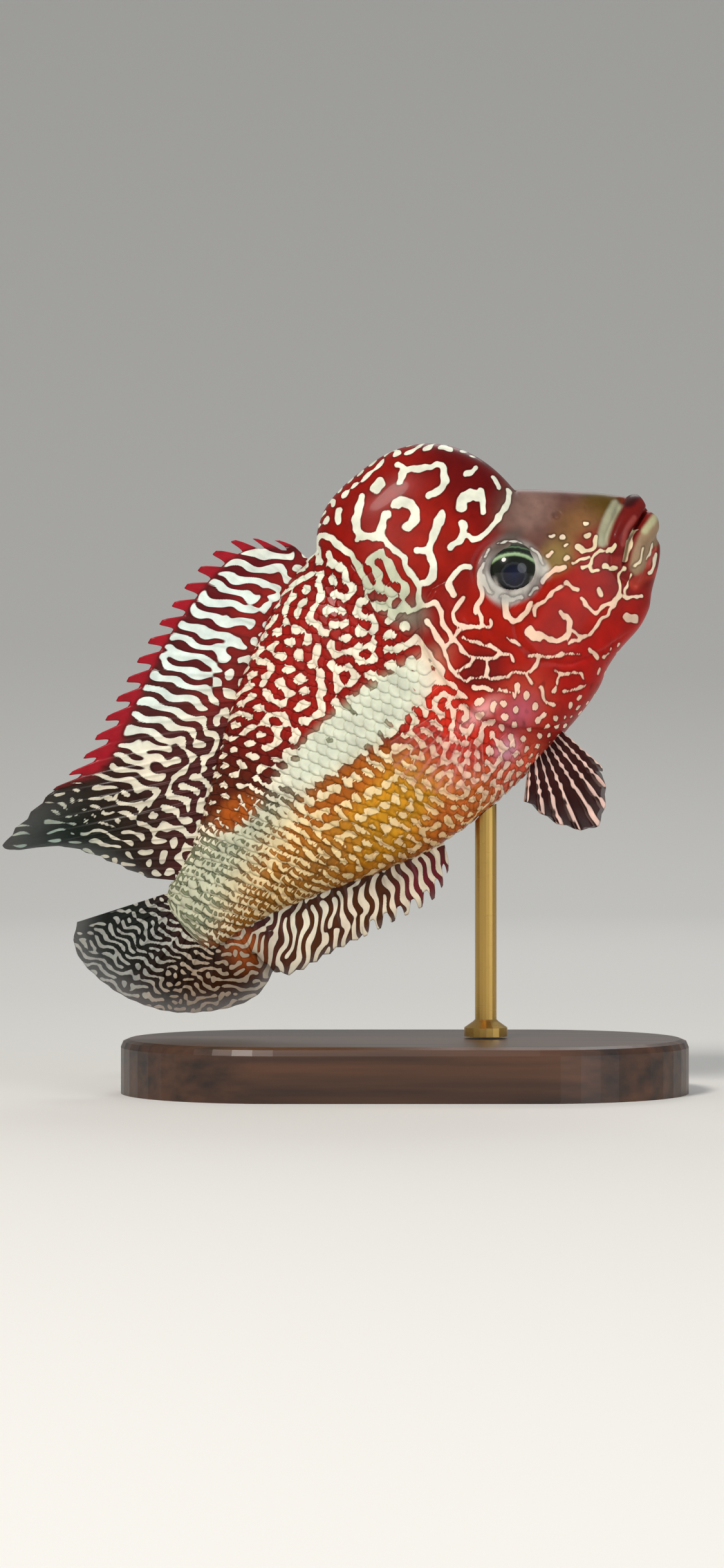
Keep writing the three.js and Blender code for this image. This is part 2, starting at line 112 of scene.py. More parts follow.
def area_light(name, spot, aim, size, power, tint="#ffffff"):
    data = bpy.data.lights.new(name, "AREA")
    data.shape = "DISK"
    data.size = size
    data.energy = power
    data.color = linear(tint)
    lamp = bpy.data.objects.new(name, data)
    lamp.location = spot
    lamp.rotation_euler = (Vector(aim) - Vector(spot)).to_track_quat("-Z", "Y").to_euler()
    bpy.context.collection.objects.link(lamp)


area_light("key", (-0.30, -0.55, 0.62), AIM, 0.22, 4.2, "#fff8f0")
area_light("fill", (0.55, -0.60, 0.22), AIM, 0.50, 1.6, "#f2f7ff")
area_light("rim", (0.10, 0.50, 0.50), AIM, 0.30, 0.6)

world = bpy.data.worlds.new("room")
world.use_nodes = True
room_light = world.node_tree.nodes["Background"]
room_light.inputs["Color"].default_value = ROOM_TINT
room_light.inputs["Strength"].default_value = ROOM_LIGHT
bpy.context.scene.world = world
bpy.context.scene.view_settings.view_transform = "Standard"

bm = bmesh.new()
bmesh.ops.create_grid(bm, x_segments=2, y_segments=48, size=FLOOR_SIZE / 2)
for vert in bm.verts:
    climb = max(0.0, vert.co.y - SWEEP_FROM)
    vert.co.z = SWEEP_CLIMB * climb ** SWEEP_POWER
paper_mesh = bpy.data.meshes.new("floor")
bm.to_mesh(paper_mesh)
bm.free()
paper_mesh.polygons.foreach_set("use_smooth", [True] * len(paper_mesh.polygons))
floor = bpy.data.objects.new("floor", paper_mesh)
bpy.context.collection.objects.link(floor)
# Uncoated paper scatters the light evenly, so the floor shows soft shadows and no shine
paper, tree = new_material("matt backdrop paper")
shader = add(tree, "ShaderNodeBsdfPrincipled", [
    ("Base Color", (*linear("#f2f2ef"), 1)), ("Roughness", 0.9),
])
add(tree, "ShaderNodeOutputMaterial", [("Surface", shader.outputs[0])])
paper_mesh.materials.append(paper)

# The body: one soft skin over the flesh of trunk, tail stalk, head, hump, jaws and gill covers.
# Its outline, thickness and hump are the CAD model's, and lips, eye sockets, nostrils, gill covers
# and the fold of the cheek are raised on it or pressed into it along its own normals.
TAIL_X, SNOUT_X = -1.2, 91.0
TAIL_END_Z, SNOUT_Z = -0.6, 5.0
BACK = [
    (TAIL_X, 1.5), (-0.6, 3.9), (0.6, 5.0), (5, 6.6), (10, 9.4), (15, 13), (20, 16.8), (25, 20.3), (30, 23.4),
    (35, 26), (40, 28.2), (45, 30), (50, 30.4), (55, 29.4), (60, 27.9), (65, 26), (70, 23.6), (75, 20.8),
    (78, 18.9), (82, 15.6), (85, 12.9), (87.5, 10.6), (89, 9), (90, 7.9), (90.6, 6.9), (SNOUT_X, 5.2),
]
BELLY = [
    (TAIL_X, -2.6), (-0.6, -5.2), (0.6, -6.2), (5, -6.6), (10, -7.4), (15, -8.7), (20, -10.3), (25, -12),
    (30, -13.5), (35, -14.7), (40, -15.2), (45, -15.2), (50, -14.9), (55, -14.4), (60, -13.6), (65, -12.6),
    (69, -11.4), (72, -9.8), (75, -8.9), (79, -8.2), (82, -6.9), (84, -5.1), (87.5, -2.4), (89, -0.8),
    (90, 1.1), (90.6, 3.2), (SNOUT_X, 4.8),
]
HALF_WIDTH = [
    (TAIL_X, 0.5), (-0.4, 1.2), (0.6, 1.6), (3, 2.2), (6, 2.9), (10, 3.8), (15, 5), (20, 6.1), (30, 8),
    (40, 9.4), (50, 10.3), (56, 10.5), (62, 10.1), (68, 9.2), (74, 7.9), (80, 6.3), (84, 5.1), (87, 4),
    (88.6, 3.2), (89.8, 2.3), (90.6, 1.3), (SNOUT_X, 0.3),
]
WIDEST_AT = [
    (TAIL_X, -0.6), (20, 2), (40, 3), (55, 3), (65, 4), (75, 4.5), (85, 4), (SNOUT_X, 5),
]
BACK_FULLNESS, BELLY_FULLNESS = 0.6, 0.47
HUMP = {"x": 61.8, "z": 19, "length": 15.6, "height": 16.6, "half": 8, "front": 2.3, "rear": 3, "crown": 2.2}
HUMP_BLEND = 4
SKIN_RINGS, SKIN_ROUND = 300, 320  # about 0.3 mm between neighbouring points of the head
HEAD_FROM, HEAD_FINENESS = 49, 2.4  # rings lie this many times closer ahead of the gill covers
TURN_CLOSENESS = 0.35  # how much a turn of the outline draws the rings together
OUTLINE_STEPS, ROUND_STEPS = 6000, 420


def placed(points):
    """Millimetres on the level fish to metres on the pitched model."""
    x, y, z = points[..., 0], points[..., 1], points[..., 2]
    turned_x = x * math.cos(PITCH) - z * math.sin(PITCH) + SHIFT_X
    turned_z = x * math.sin(PITCH) + z * math.cos(PITCH) + SHIFT_Z
    return np.stack([turned_x, y, turned_z], -1) * MM


def through(points):
    """Smooth function through the points with no overshoot."""
    xs, values = np.array(points, float).T
    step = np.diff(xs)
    slope = np.diff(values) / step
    tangent = np.zeros_like(xs)
    tangent[0], tangent[-1] = slope[0], slope[-1]
    same = slope[:-1] * slope[1:] > 0
    total = np.where(same, slope[:-1] + slope[1:], 1)
    tangent[1:-1] = np.where(same, 2 * slope[:-1] * slope[1:] / total, 0)

    def value(x):
        x = np.asarray(x, float)
        i = np.clip(np.searchsorted(xs, x, side="right") - 1, 0, len(xs) - 2)
        t = np.clip((x - xs[i]) / step[i], 0, 1)
        ends = values[i] * (2 * t**3 - 3 * t**2 + 1) + values[i + 1] * (3 * t**2 - 2 * t**3)
        return ends + step[i] * (tangent[i] * (t**3 - 2 * t**2 + t) + tangent[i + 1] * (t**3 - t**2))

    return value


back, belly, half_width, widest_at = (through(p) for p in (BACK, BELLY, HALF_WIDTH, WIDEST_AT))


def hump_left(x):
    """1 at the middle station of the hump, 0 at its ends and less beyond them."""
    power = np.where(x > HUMP["x"], HUMP["front"], HUMP["rear"])
    return 1 - (np.abs(x - HUMP["x"]) / HUMP["length"]) ** power


def crown(x):
    """Height of the outline's top, back or hump, whichever is higher."""
    left = np.maximum(hump_left(x), 0)
    hump = np.where(left > 0, HUMP["z"] + HUMP["height"] * left ** (1 / HUMP["crown"]), -np.inf)
    return np.maximum(back(x), hump)


def flank(x, z):
    """Half of the thickness of the body at a place in side view."""
    middle = widest_at(x)
    above = z >= middle
    t = np.where(above, (z - middle) / (back(x) - middle), (middle - z) / (middle - belly(x)))
    inside = np.maximum(0, 1 - t * t)
    body = half_width(x) * inside ** np.where(above, BACK_FULLNESS, BELLY_FULLNESS)
    left = np.maximum(0, hump_left(x) - (np.abs(z - HUMP["z"]) / HUMP["height"]) ** HUMP["crown"])
    hump = HUMP["half"] * np.sqrt(left)
    return (body**HUMP_BLEND + hump**HUMP_BLEND) ** (1 / HUMP_BLEND)


def even_stations(count):
    """Stations along the body, closer where its outline turns across it."""
    xs = np.linspace(TAIL_X, SNOUT_X, OUTLINE_STEPS)
    across = np.abs(np.diff(crown(xs))) + np.abs(np.diff(belly(xs))) + 2 * np.abs(np.diff(half_width(xs)))
    finer = np.where(xs[1:] > HEAD_FROM, HEAD_FINENESS, 1.0)
    run = np.concatenate([[0], np.cumsum((np.diff(xs) + TURN_CLOSENESS * across) * finer)])
    return np.interp(np.linspace(0, run[-1], count), run, xs)


stations = even_stations(SKIN_RINGS + 1)
half_count = SKIN_ROUND // 2
rings = np.zeros((SKIN_RINGS + 1, SKIN_ROUND + 1, 3))
# Millimetres round the body from the belly's midline, negative on the right flank
from_keel = np.zeros((SKIN_RINGS + 1, SKIN_ROUND + 1))
turn = np.linspace(0, math.pi, ROUND_STEPS)
for i, x in enumerate(stations):
    low, high = belly(x), crown(x)
    z = low + (high - low) * (1 - np.cos(turn)) / 2
    y = flank(np.full_like(z, x), z)
    y[0] = y[-1] = 0
    way = np.concatenate([[0], np.cumsum(np.hypot(np.diff(y), np.diff(z)))])
    even = np.linspace(0, way[-1], half_count + 1)
    right_y, right_z = -np.interp(even, way, y), np.interp(even, way, z)
    rings[i, :, 0] = x
    rings[i, :, 1] = np.concatenate([right_y, -right_y[-2::-1]])
    rings[i, :, 2] = np.concatenate([right_z, right_z[-2::-1]])
    from_keel[i] = np.concatenate([-even, even[-2::-1]])
rings[0] = (TAIL_X, 0, TAIL_END_Z)
rings[-1] = (SNOUT_X, 0, SNOUT_Z)


def normals_of(points):
    """Unit normals of a closed tube of rings, pointing out."""
    along = np.gradient(points, axis=0)
    wrapped = np.concatenate([points[:, -2:-1], points, points[:, 1:2]], 1)
    around = (wrapped[:, 2:] - wrapped[:, :-2]) / 2
    out = np.cross(along, around)
    return out / np.maximum(np.linalg.norm(out, axis=-1, keepdims=True), 1e-9)


def soft_step(low, high, value):
    """0 up to low and 1 from high on, with a smooth rise between them."""
    t = np.clip((value - low) / (high - low), 0, 1)
    return t * t * (3 - 2 * t)


def line_distance(line, x, z):
    """Distance from places in side view to a broken line, positive on its left, and how far along it."""
    best = np.full(np.shape(x), 1e9)
    side = np.zeros(np.shape(x))
    share = np.zeros(np.shape(x))
    for n, ((ax, az), (bx, bz)) in enumerate(zip(line[:-1], line[1:])):
        dx, dz = bx - ax, bz - az
        t = np.clip(((x - ax) * dx + (z - az) * dz) / (dx * dx + dz * dz), 0, 1)
        away = np.hypot(x - ax - t * dx, z - az - t * dz)
        nearer = away < best
        best = np.where(nearer, away, best)
        side = np.where(nearer, np.sign(dx * (z - az) - dz * (x - ax)), side)
        share = np.where(nearer, (n + t) / (len(line) - 1), share)
    return best * np.where(side == 0, 1, side), share


MOUTH_LINE = [(82.6, 0.4), (84, 1.6), (85.4, 2.8), (87, 3.5), (88.8, 4.1), (91.2, 5.0)]
LIP_CREASE = [(82.2, 4.0), (83.6, 5.3), (85.8, 6.6), (88.6, 8.2)]
JAW_CORNER = [(83.0, 3.4), (81.5, 1.8), (81.2, -0.4), (82.2, -2.8)]
GILL_EDGE = [
    (62.5, 14.2), (58.5, 15.0), (54.6, 13.4), (52.3, 9.6), (51.4, 5.0), (51.3, 0.6), (52.4, -4), (55, -8),
    (58.6, -11), (63, -12.8),
]
CHEEK_EDGE = [(65.2, 4.5), (63.6, 1.2), (64.2, -2.6), (67.6, -5.8), (72.5, -7.4), (78, -7.6)]
NOSTRIL = (79.6, 12.4)
SOCKET = (69.1, 10.1)
EYE_OVAL = 1.12  # how many times longer than high the eye's opening is
LIPS_FROM, CREASE_FROM, CLEFT_FROM = (81.8, 84.4), (81.6, 83.4), (82.2, 83.6)  # they fade in along x
LIP_ROLL, LIP_FULLNESS = 0.9, 0.8
UPPER_LIP, LOWER_LIP = (1.6, 1.8), (1.5, 1.7)  # middle of the roll from the mouth line, and half its width
# Folds and rims of the skin as (height or depth, half width), and how far each lies from its line or place
CREASE, CLEFT, JAW_FOLD, CHEEK_FOLD = (0.45, 0.45), (1.15, 0.28), (0.3, 0.4), (0.22, 0.35)
CHIN_FOLD, CHIN_FOLD_AWAY = (0.3, 0.5), 3.7
GILL_GROOVE, GILL_GROOVE_AWAY = (0.4, 0.45), 0.15
GILL_RIM, GILL_RIM_ROUND, GILL_RIM_FADE = 0.75, 0.35, 5.0
CHEEK_RIM, CHEEK_RIM_FADE = 0.25, 2.2
NOSTRIL_RIM, NOSTRIL_RIM_AWAY, NOSTRIL_PIT = (0.16, 0.35), 0.85, (0.7, 0.5)
SOCKET_DEPTH, SOCKET_WALL = 2.6, (2.4, 3.2)
SOCKET_RIM, SOCKET_RIM_AWAY = (0.5, 0.6), 3.75
SOCKET_MOAT, SOCKET_MOAT_AWAY = (0.22, 0.7), 5.3


def fold(size, away):
    """Height of a fold of skin at a distance from its middle."""
    return size[0] * np.exp(-((away / size[1]) ** 2))


def relief(x, z):
    """How far the skin stands out from the plain body, in millimetres."""
    out = np.zeros_like(x)
    lips_here = soft_step(*LIPS_FROM, x)
    from_mouth, _ = line_distance(MOUTH_LINE, x, z)
    up, down = np.clip(from_mouth, 0, None), np.clip(-from_mouth, 0, None)
    above, below = (
        np.clip(1 - ((away - middle) / half) ** 2, 0, 1)
        for away, (middle, half) in ((up, UPPER_LIP), (down, LOWER_LIP))
    )
    out += lips_here * LIP_ROLL * np.where(from_mouth > 0, above, below) ** LIP_FULLNESS
    crease, _ = line_distance(LIP_CREASE, x, z)
    out -= soft_step(*CREASE_FROM, x) * fold(CREASE, crease)
    out -= lips_here * fold(CHIN_FOLD, down - CHIN_FOLD_AWAY)
    out -= soft_step(*CLEFT_FROM, x) * fold(CLEFT, from_mouth)
    corner, _ = line_distance(JAW_CORNER, x, z)
    out -= fold(JAW_FOLD, corner)
    gill, along_gill = line_distance(GILL_EDGE, x, z)
    gill_ends = soft_step(0, 0.12, along_gill) * (1 - soft_step(0.9, 1, along_gill))
    ahead, behind = np.clip(gill, 0, None), np.clip(-gill, 0, None)
    gill_rim = GILL_RIM * np.exp(-ahead / GILL_RIM_FADE) * soft_step(0, GILL_RIM_ROUND, ahead)
    out += gill_ends * np.where(gill > 0, gill_rim, 0)
    out -= gill_ends * fold(GILL_GROOVE, behind - GILL_GROOVE_AWAY) * (gill <= 0)
    cheek, along_cheek = line_distance(CHEEK_EDGE, x, z)
    cheek_ends = soft_step(0, 0.15, along_cheek) * (1 - soft_step(0.85, 1, along_cheek))
    out -= cheek_ends * fold(CHEEK_FOLD, cheek)
    out += cheek_ends * CHEEK_RIM * np.exp(-np.clip(cheek, 0, None) / CHEEK_RIM_FADE) * (cheek > 0)
    nose = np.hypot(x - NOSTRIL[0], z - NOSTRIL[1])
    out += fold(NOSTRIL_RIM, nose - NOSTRIL_RIM_AWAY) - fold(NOSTRIL_PIT, nose)
    level = (x - SOCKET[0]) * math.cos(PITCH) - (z - SOCKET[1]) * math.sin(PITCH)
    upright = (x - SOCKET[0]) * math.sin(PITCH) + (z - SOCKET[1]) * math.cos(PITCH)
    eye = np.hypot(level, EYE_OVAL * upright)
    out -= SOCKET_DEPTH * (1 - soft_step(*SOCKET_WALL, eye))
    out += fold(SOCKET_RIM, eye - SOCKET_RIM_AWAY) - fold(SOCKET_MOAT, eye - SOCKET_MOAT_AWAY)
    return out


# Front limit of the scales as (height, distance from the tail root); the skin lies lower under them
SCALE_DEPTH = 0.12
SCALES_END = through([
    (-16, 57), (-11, 56), (-8, 54), (-4, 51.7), (0.6, 50.7), (5, 50.7), (9.6, 51.5), (13.4, 53), (20, 54.5),
    (26, 51.5), (31, 48.2), (36, 46),
])
lift = relief(rings[..., 0], rings[..., 2])
lift -= SCALE_DEPTH * (1 - soft_step(-0.6, 0.6, rings[..., 0] - SCALES_END(rings[..., 2])))
lift *= soft_step(0, 0.5, SNOUT_X - rings[..., 0]) * soft_step(0, 1.5, rings[..., 0] - TAIL_X)
skin_points = rings + normals_of(rings) * lift[..., None]
skin_normals = normals_of(skin_points)


def sheet(name, points):
    """A welded mesh from a grid warped to rows of points, in metres; its points know their row and column."""
    rows, columns = points.shape[0] - 1, points.shape[1] - 1
    sheet_bm = bmesh.new()
    bmesh.ops.create_grid(sheet_bm, x_segments=rows, y_segments=columns, size=1)
    flat = np.array([vert.co[:2] for vert in sheet_bm.verts])
    row = np.rint((flat[:, 0] + 1) / 2 * rows).astype(int)
    column = np.rint((flat[:, 1] + 1) / 2 * columns).astype(int)
    own_place = sheet_bm.verts.layers.int.new("grid_place")
    numbers = (row * (columns + 1) + column).tolist()
    for vert, co, number in zip(sheet_bm.verts, points[row, column].tolist(), numbers):
        vert.co = co
        vert[own_place] = number
    bmesh.ops.remove_doubles(sheet_bm, verts=sheet_bm.verts, dist=2e-6)
    bmesh.ops.recalc_face_normals(sheet_bm, faces=sheet_bm.faces)
    for face in sheet_bm.faces:
        face.smooth = True
    mesh = bpy.data.meshes.new(name)
    sheet_bm.to_mesh(mesh)
    sheet_bm.free()
    places = np.zeros(len(mesh.vertices), int)
    mesh.attributes["grid_place"].data.foreach_get("value", places)
    mesh.attributes.remove(mesh.attributes["grid_place"])
    thing = bpy.data.objects.new(name, mesh)
    bpy.context.collection.objects.link(thing)
    return thing, places


skin, skin_places = sheet("skin", placed(skin_points))

# Markings: cream worms, nets, dots and bars, which grow as they do on the fish, by each patch of pale skin
# spreading to a set width and holding off the next. The few large marks that name this fish, on its hump
# and cheek, are laid first as strokes along their own lines, and the small ones grow round them.
FIELD_STEP = 0.16  # millimetres from cell to cell
MARK_ROUNDS = 3
BAND_SPREAD = 0.36  # how freely the width from mark to mark varies
GROWTH, GROW_SHARPNESS = 0.6, 2.6
PATCH_SPREAD = 0.6


def smooth_noise(shape, width, seed):
    """Even random patches about width millimetres across, mostly from -1 to 1."""
    across = np.fft.rfftfreq(shape[1], FIELD_STEP)[None, :]
    up = np.fft.fftfreq(shape[0], FIELD_STEP)[:, None]
    raw = np.random.default_rng(seed).standard_normal(shape)
    band = np.exp(-(((np.hypot(across, up) * width - 1) / PATCH_SPREAD) ** 2))
    made = np.fft.irfft2(np.fft.rfft2(raw) * band, s=shape)
    return made / (2 * made.std())


def grow_marks(kinds, bias, laid, hold, seed):
    """Each kind is its share of every cell, the spacing of its marks in mm, the way that they run
    (an angle or None) and how far they stray from it; hold is where the laid marks stay as they are."""
    field = np.random.default_rng(seed).standard_normal(bias.shape)
    field = np.where(hold > 0.5, laid, field)
    across = np.fft.rfftfreq(bias.shape[1], FIELD_STEP)[None, :]
    up = np.fft.fftfreq(bias.shape[0], FIELD_STEP)[:, None]
    pitch, heading = np.hypot(across, up), np.arctan2(up, across)
    bands = []
    for share, spacing, run, spread in kinds:
        band = np.exp(-(((pitch * spacing - 1) / BAND_SPREAD) ** 2))
        if run is not None:
            band = band * np.exp(-((np.cos(heading - math.radians(run)) / spread) ** 2))
        bands.append((share, band))
    for _ in range(MARK_ROUNDS):
        seen = np.fft.rfft2(field)
        grown = sum(share * np.fft.irfft2(seen * band, s=bias.shape) for share, band in bands)
        grown = grown / np.sqrt(np.mean(grown**2)) * GROWTH
        field = np.tanh(GROW_SHARPNESS * (grown + bias))
        field = field * (1 - hold) + laid * hold
    return field


def curve_through(points, shares):
    """Points at even shares of a smooth curve through a few."""
    corner = np.array(points, float)
    padded = np.vstack([2 * corner[0] - corner[1], corner, 2 * corner[-1] - corner[-2]])
    fine_line = []
    for p0, p1, p2, p3 in zip(padded, padded[1:], padded[2:], padded[3:]):
        t = np.linspace(0, 1, 60, endpoint=False)[:, None]
        bend = (2 * p0 - 5 * p1 + 4 * p2 - p3) * t**2 + (3 * p1 - p0 - 3 * p2 + p3) * t**3
        fine_line.append(0.5 * (2 * p1 + (p2 - p0) * t + bend))
    fine_line = np.vstack([*fine_line, corner[-1:]])
    run = np.concatenate([[0], np.cumsum(np.linalg.norm(np.diff(fine_line, axis=0), axis=1))])
    return np.stack([np.interp(shares * run[-1], run, fine_line[:, axis]) for axis in (0, 1)], -1)


def patch(x, z, at_x, at_z, reach_x, reach_z, soft=0.35):
    """1 inside an oval, 0 outside, with a soft edge."""
    away = np.hypot((x - at_x) / reach_x, (z - at_z) / reach_z)
    return 1 - soft_step(1 - soft, 1 + soft, away)


# Strokes laid one by one: width, then the line as seen from the side
STROKE_TRIM = 0.1  # they are laid this much thinner than their width says
STROKE_EDGE = 0.35
STROKE_STEPS = 6  # points on the smooth line for each point given
STROKE_ROOM = 3  # millimetres of the body looked at before and behind a stroke
HUMP_STROKES = [
    (1.05, [(48.2, 28.6), (49.3, 30.9), (50.6, 31.7), (51.5, 30.8), (51.9, 28.5), (52.3, 26.5), (52, 24),
            (51.5, 21.5)]),
    (1.2, [(49.3, 27.8), (49.7, 26.2)]),
    (1.0, [(53.9, 31.7), (55.1, 33)]),
    (1.3, [(58.8, 32.2), (57.4, 31.2), (55.9, 29.8), (55.2, 28.3), (56.2, 26.8), (57.4, 26.1), (58.7, 27.2),
           (60.1, 27.9)]),
    (0.9, [(55.2, 28.3), (54.4, 27.7)]),
    (0.95, [(57.4, 26.1), (57.6, 23.6), (58, 21.5), (57.3, 19.5), (57.3, 17.4), (56.4, 15.8), (55.6, 14.6)]),
    (1.55, [(62.2, 28.3), (63.2, 27.9), (63.7, 26.6), (63.3, 25.2), (62.2, 24.5), (61.3, 24.7)]),
    (1.75, [(61.2, 32), (62.2, 32.3)]),
    (1.15, [(66, 32.6), (66.3, 31.6), (64.6, 30.5)]),
    (1.15, [(66.3, 31.6), (67.6, 30.6), (69.2, 29.6), (70.9, 28.8), (70.6, 27.7), (69.6, 26.3), (68.4, 25.9),
            (66.7, 26.2)]),
    (1.2, [(66.2, 22.8), (64.8, 21.9), (62.8, 20.8), (61.6, 19.9), (60.9, 18.2), (60.1, 16.9), (58.8, 16.3),
           (58, 16.6)]),
    (1.5, [(66.2, 22.8), (65.4, 22.3)]),
    (1.1, [(60.2, 20.9), (61.5, 20)]),
    (1.15, [(64.3, 18.3), (66.3, 18.3), (67.3, 18.9), (67.9, 20)]),
    (0.95, [(67.2, 18.6), (67.8, 17), (69.2, 16.7), (71.5, 17.1), (74, 17.8), (75.6, 18.6), (76.6, 19.6)]),
    (1.7, [(69.2, 21.9), (70.3, 22.7), (71.7, 22.5), (72.3, 21.6)]),
    (0.85, [(73.2, 22.1), (72.2, 20.5), (71.4, 19.3)]),
    (0.9, [(73.2, 25.3), (74.6, 25.2)]),
    (0.8, [(76, 22.5), (75.6, 21)]),
]
FACE_STROKES = [
    (0.95, [(60.2, 12.5), (60.7, 14.3), (62.2, 14.7), (63.6, 15), (64.8, 14.2)]),
    (0.8, [(66.4, 13.2), (65, 12.5), (64.2, 11.2), (63.6, 9.9), (62.2, 9.2), (61, 8.6)]),
    (0.8, [(61.2, 11.4), (60.2, 11), (58.6, 10.6), (58, 9.5), (58.4, 8.4), (58.9, 7.7)]),
    (0.8, [(53.5, 14.6), (55.3, 14.3), (56.6, 13.6), (57.6, 13), (57.2, 11.6), (56.5, 10.2), (56.3, 8.3),
           (56.1, 7.5)]),
    (0.85, [(54.9, 12), (54.6, 9.5), (54.4, 7.4)]),
    (0.7, [(54.4, 7.4), (56.1, 7.5), (57.7, 7.9), (59.3, 7.4), (60.5, 6.4), (61.2, 7.2), (61.8, 8.8)]),
    (0.6, [(54.2, 7.2), (53.6, 5.5), (53.3, 3.5), (53.7, 1.8), (55, 1.2), (56.5, 0.2), (57.6, -0.9),
           (59.6, -1.6), (60.9, -2.3), (61.5, -3)]),
    (0.6, [(56.4, 7), (56.2, 5), (57.2, 3.4), (58.3, 2.2), (59.6, 1.6), (60.6, 1.2), (61.3, 0.4),
           (60.9, -0.4)]),
    (0.6, [(57.5, 6.8), (58.3, 5.3), (59.3, 4), (60, 3), (60.4, 1.5)]),
    (0.6, [(53.6, 3.6), (55.4, 3.2), (57, 3.3)]),
    (0.6, [(56.8, 0.2), (57.6, 1.4), (58.3, 2.2)]),
    (0.6, [(60.5, 6.4), (61.6, 5.6), (62.2, 6.4)]),
    (0.75, [(54.2, 0.2), (55.2, -0.6), (56.1, -1.8)]),
    (0.5, [(56.9, -2.3), (57.8, -3.6), (58.9, -4.3)]),
    (0.5, [(62.5, 2.8), (63, 1.6), (63.3, 0.7)]),
    (0.6, [(63.2, -1.1), (64.3, -2), (63.8, -2.8), (62.3, -3.1), (61.4, -3.1), (61.1, -4.6)]),
    (0.5, [(64.5, -2.2), (66, -3.4), (67.8, -4.3), (69.3, -5.6)]),
    (1.1, [(65.6, 7), (64.9, 6.2), (64.4, 5.2)]),
    (0.8, [(64.4, 5.2), (65, 3.9), (66.6, 3.9), (68.4, 4.6)]),
    (0.65, [(67.7, 2.8), (68.6, 3.8), (70.5, 3.6), (72.3, 3.9), (73.7, 3.8)]),
    (0.7, [(74.4, 3.7), (74.9, 2)]),
    (1.5, [(65.7, 1.5), (65.6, 0.9), (66.3, 0.1)]),
    (0.85, [(66.3, 0), (67.4, -1.3), (68.6, -2.4), (69.6, -2.4), (70.7, -1.6), (71.3, -0.6), (71, 0.7)]),
    (0.65, [(74.7, 0.6), (74.7, -1.2), (75, -2.3), (76.4, -2.4), (77.8, -2.7), (79.2, -2.5)]),
    (0.7, [(77.6, 0.2), (77.2, -1)]),
    (0.65, [(69.3, -3.5), (71.2, -4), (72.8, -4.3), (74.6, -3.8), (77.3, -3.4), (79.6, -2.6)]),
    (0.6, [(70.7, -2.3), (71.2, -3.9)]),
    (0.6, [(79.8, -3), (81, -4), (82.2, -4.7)]),
    (0.65, [(71.1, -6.2), (71.4, -7.8)]),
    (1.4, [(78.5, -5.8), (79.3, -6.8)]),
    (0.5, [(64.1, -6.8), (65.4, -6.5), (66.9, -7.1), (67.9, -8), (67.8, -8.9)]),
    (0.6, [(65.2, -5.3), (65.5, -6.4)]),
    (0.5, [(64.2, -8.4), (65.5, -9.2), (67.3, -9.8)]),
    (0.6, [(61.9, -5.8), (61.2, -7.4)]),
    (0.8, [(71.6, 5.9), (73, 6.3), (74.2, 6.2), (75.6, 5.6)]),
    (0.55, [(76.9, 10.5), (77.3, 10.4)]),
    (0.7, [(77.9, 9.3), (78.4, 9.2)]),
    (0.6, [(74.6, 8.6), (75.6, 8.4)]),
    (0.6, [(77.6, 8.1), (78, 8.1)]),
    (0.8, [(76.5, 6.5), (76.9, 6.4)]),
    (1.1, [(79.1, 6.8), (79.3, 6.1)]),
    (0.9, [(81, 7.3), (81.5, 7.2)]),
    (0.6, [(82.1, 8.8), (82.5, 8.6)]),
    (0.6, [(77, 5.4), (78.2, 5.1), (79.4, 4.6)]),
    (0.6, [(79.6, 5.7), (80.6, 5.2), (81.6, 5.8), (82.2, 6.4)]),
    (0.55, [(77.6, 4), (78.6, 3.6), (79.6, 4.1), (81, 4.4), (81.8, 4)]),
    (0.85, [(82, 3.5), (83.2, 3.4)]),
    (0.6, [(78.6, 3.4), (78.5, 2.7), (79.3, 2.3)]),
    (0.9, [(80.2, 2.1), (80.7, 1.9)]),
    (0.8, [(81, 1.3), (81.4, 1)]),
    (0.6, [(82.6, 0.1), (81.4, -0.2), (80.7, -1), (80.2, -1.9), (79, -2.5)]),
    (0.6, [(83.4, 0.9), (84.6, 1.9), (86, 3), (87.4, 3.5)]),
    (0.5, [(82.6, -1.4), (81.4, -2.2), (80.3, -2.8)]),
    (0.55, [(85.4, -2.9), (86.6, -2.2), (87.6, -1.3)]),
    (0.5, [(83.6, -0.4), (85, -0.1), (86.2, 0.9)]),
    (0.45, [(86, -1), (87.4, -0.5), (88.6, 0.4)]),
    (0.5, [(72, -8.4), (73, -8.3)]),
    (0.6, [(65.3, 12.2), (64.8, 10.8), (64.8, 9.4)]),
    (0.55, [(65.6, 8), (66.6, 6.7), (67.8, 6)]),
    (0.55, [(69, 5.8), (70.6, 5.8)]),
    (0.5, [(73.5, 7.9), (73.9, 9.4), (73.6, 10.8)]),
    (0.45, [(73, 12.3), (71.7, 13.7), (70.2, 14.4)]),
    (0.45, [(68.6, 14.5), (67.2, 14)]),
]

# The skin's field runs along the body and round it from the midline of the belly, right flank first
field_x = np.arange(-3, 93, FIELD_STEP)
field_way = np.arange(-60, 60, FIELD_STEP)
ring_share = np.clip(np.interp(field_x, stations, np.arange(SKIN_RINGS + 1)), 1, SKIN_RINGS - 1.001)
field_z = np.zeros((len(field_way), len(field_x)))
for column, share in enumerate(ring_share):
    ring = int(share)
    here, ahead = (
        np.interp(np.abs(field_way), -from_keel[n, :half_count + 1], rings[n, :half_count + 1, 2])
        for n in (ring, ring + 1)
    )
    field_z[:, column] = here + (ahead - here) * (share - ring)
grid_x = np.broadcast_to(field_x, field_z.shape)
on_left = (field_way > 0)[:, None] * 1.0


